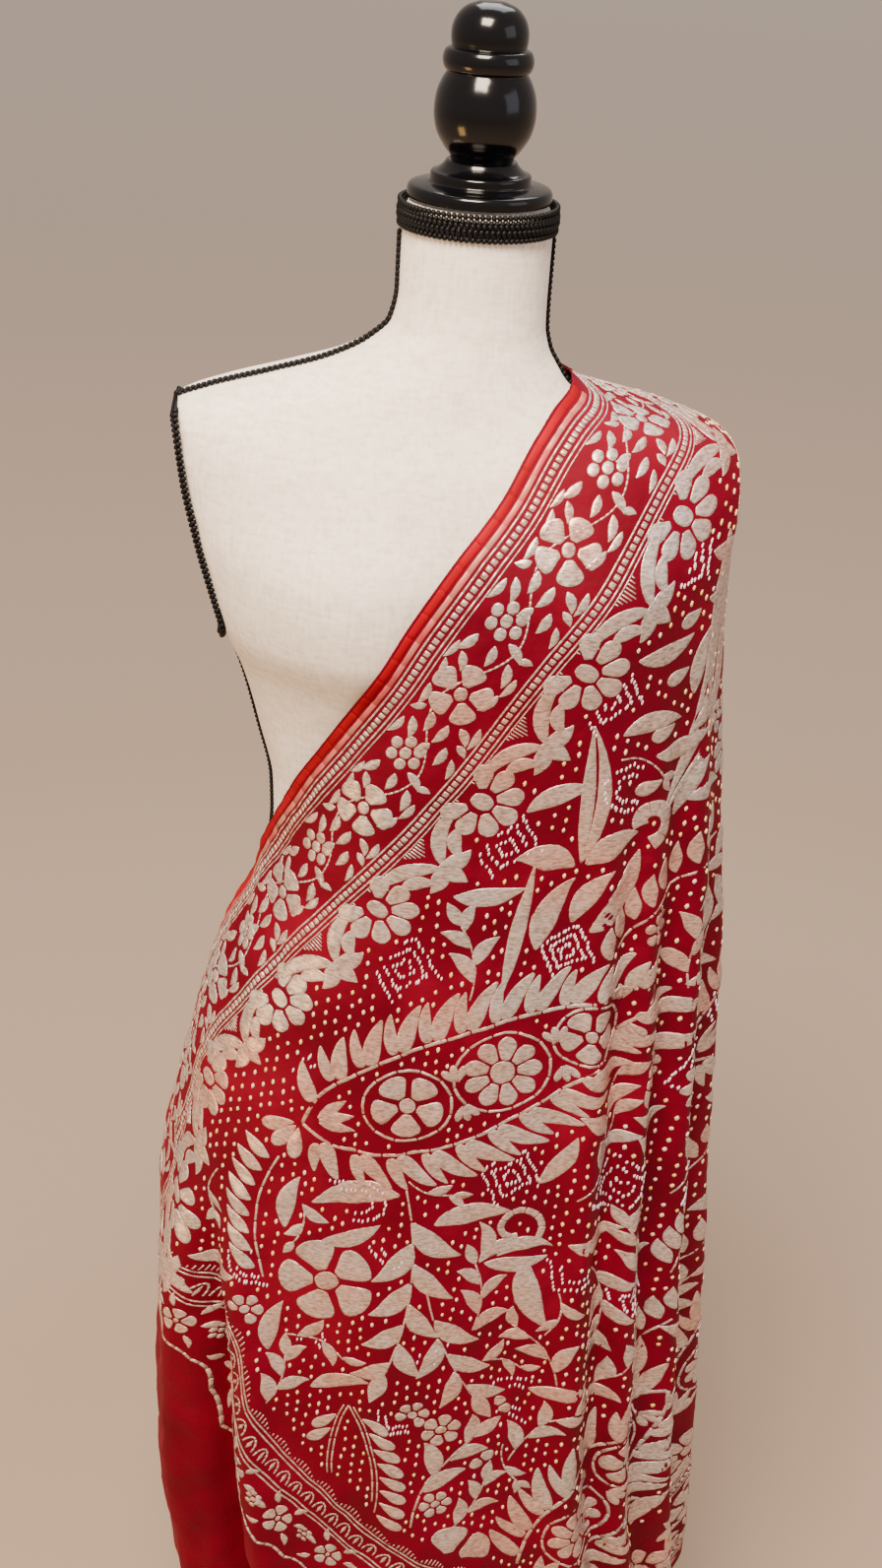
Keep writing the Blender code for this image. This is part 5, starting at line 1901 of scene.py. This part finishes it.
# %% Cap, finial, pole and base
CAP = np.array([
    # radius  height above the neck's top
    (0.0470, 0.0003), (0.0492, 0.0009), (0.0497, 0.0024), (0.0497, 0.0060), (0.0488, 0.0082),
    (0.0465, 0.0095), (0.0400, 0.0107), (0.0368, 0.0112), (0.0348, 0.0122), (0.0345, 0.0140),
    (0.0345, 0.0165), (0.0335, 0.0180), (0.0312, 0.0187), (0.0290, 0.0200), (0.0262, 0.0225),
    (0.0240, 0.0255),
])
FINIAL = np.array([
    # radius  height above the cap
    (0.0212, 0.0000), (0.0224, 0.0030), (0.0268, 0.0085), (0.0316, 0.0165), (0.0340, 0.0255),
    (0.0343, 0.0340), (0.0330, 0.0430), (0.0300, 0.0505), (0.0276, 0.0545), (0.0274, 0.0556),
    (0.0290, 0.0575), (0.0302, 0.0610), (0.0302, 0.0650), (0.0285, 0.0690), (0.0252, 0.0708),
    (0.0250, 0.0718), (0.0256, 0.0760), (0.0252, 0.0830), (0.0222, 0.0900), (0.0165, 0.0955),
    (0.0085, 0.0985),
])
cap_line = smooth_profile(CAP + np.array([0, NECK_TOP]), 5)
lathe("lacquered_cap", cap_line, lacquer, "neck_cap")
finial_line = smooth_profile(FINIAL + np.array([0, NECK_TOP + 0.0258]), 6)
lathe("lacquered_finial", finial_line, lacquer, "finial")
for name in ("base", "pole"):
    nodes[name].data.materials.clear()
    nodes[name].data.materials.append(enamel)

# %% [markdown]
# ## Floor, light and camera
# A pale floor and broad soft lamps, as in a small photo studio.  The camera stands where the
# photograph's stood: at head height, a step in front, looking down.

# %% Floor
floor_mesh = bpy.data.meshes.new("floor")
floor_mesh.from_pydata([(-30, -30, 0), (30, -30, 0), (30, 30, 0), (-30, 30, 0)], [], [(0, 1, 2, 3)])
floor = bpy.data.objects.new("floor", floor_mesh)
bpy.context.scene.collection.objects.link(floor)
paper, shader = new_material("pale_floor", Roughness=0.9)
place = paper.node_tree.nodes.new("ShaderNodeTexCoord").outputs["Object"]
away = node(paper, "ShaderNodeVectorMath", {"operation": "LENGTH"}, {0: place}).outputs["Value"]
share = node(paper, "ShaderNodeMath", {"operation": "ADD", 1: 2.5}, {0: away}).outputs[0]
share = node(paper, "ShaderNodeMath", {"operation": "DIVIDE"}, {0: away, 1: share}).outputs[0]
# The floor is a little darker near the stand, where the lamps are bright, so it looks even.
paint(paper, shader, ramp(paper, share, [
    (0.22, "#B39C88"), (0.50, "#CDB8A4"), (0.67, "#F0DCCA"), (0.89, "#FFF6EC"),
]))
floor_mesh.materials.append(paper)

# %% Light
world = bpy.data.worlds.new("studio")
world.use_nodes = True
world.node_tree.nodes["Background"].inputs["Color"].default_value = colour("#E9D8CC")
world.node_tree.nodes["Background"].inputs["Strength"].default_value = 0.62
bpy.context.scene.world = world
LAMPS = (
    # name, place, aim, size, watts, colour
    ("key", (-0.45, -1.15, 3.35), (0.0, 0.0, 1.40), 0.9, 175, "#FFEAD4"),
    ("fill", (2.3, -1.4, 2.5), (0.0, 0.0, 1.2), 1.6, 12, "#E6ECFF"),
    ("top", (0.3, 1.1, 3.4), (0.0, 0.0, 1.4), 1.4, 30, "#FFFFFF"),
    ("low", (-1.5, -0.8, 0.70), (-0.15, -0.05, 1.00), 0.5, 9, "#FFC878"),
)
for name, place, aim, size, watts, code in LAMPS:
    lamp = bpy.data.lights.new(name, "AREA")
    lamp.energy = watts
    lamp.size = size
    lamp.color = colour(code)[:3]
    holder = bpy.data.objects.new(name, lamp)
    bpy.context.scene.collection.objects.link(holder)
    back = np.array(place, float) - np.array(aim, float)
    back = back / np.linalg.norm(back)
    right = np.cross([0, 0, 1], back)
    right = right / np.linalg.norm(right)
    up = np.cross(back, right)
    turn = Matrix(np.column_stack([right, up, back]).tolist()).to_4x4()
    holder.matrix_world = Matrix.Translation(place) @ turn

# %% Camera
CAMERA_PLACE = np.array([-0.1309, -1.2524, NECK_TOP + 0.2398])
YAW, PITCH, ROLL = np.radians([6.0, 28.93, 3.85])
FOCAL_PIXELS, FRAME_PIXELS = 1815.4, 1592
ahead = np.array([np.sin(YAW), np.cos(YAW), 0])
right = np.array([np.cos(YAW), -np.sin(YAW), 0])
up = np.array([0, 0, 1.0])
looking = ahead * np.cos(PITCH) - up * np.sin(PITCH)
upright = ahead * np.sin(PITCH) + up * np.cos(PITCH)
across = right * np.cos(ROLL) + upright * np.sin(ROLL)
above = -right * np.sin(ROLL) + upright * np.cos(ROLL)
lens_data = bpy.data.cameras.new("photo_camera")
lens_data.sensor_fit = "VERTICAL"
lens_data.sensor_height = 36.0
lens_data.lens = 36.0 * FOCAL_PIXELS / FRAME_PIXELS
lens_data.clip_start = 0.05
lens_data.clip_end = 80
camera = bpy.data.objects.new("photo_camera", lens_data)
bpy.context.scene.collection.objects.link(camera)
turn = Matrix(np.column_stack([across, above, -looking]).tolist()).to_4x4()
camera.matrix_world = Matrix.Translation(CAMERA_PLACE.tolist()) @ turn
bpy.context.scene.camera = camera
bpy.context.view_layer.update()
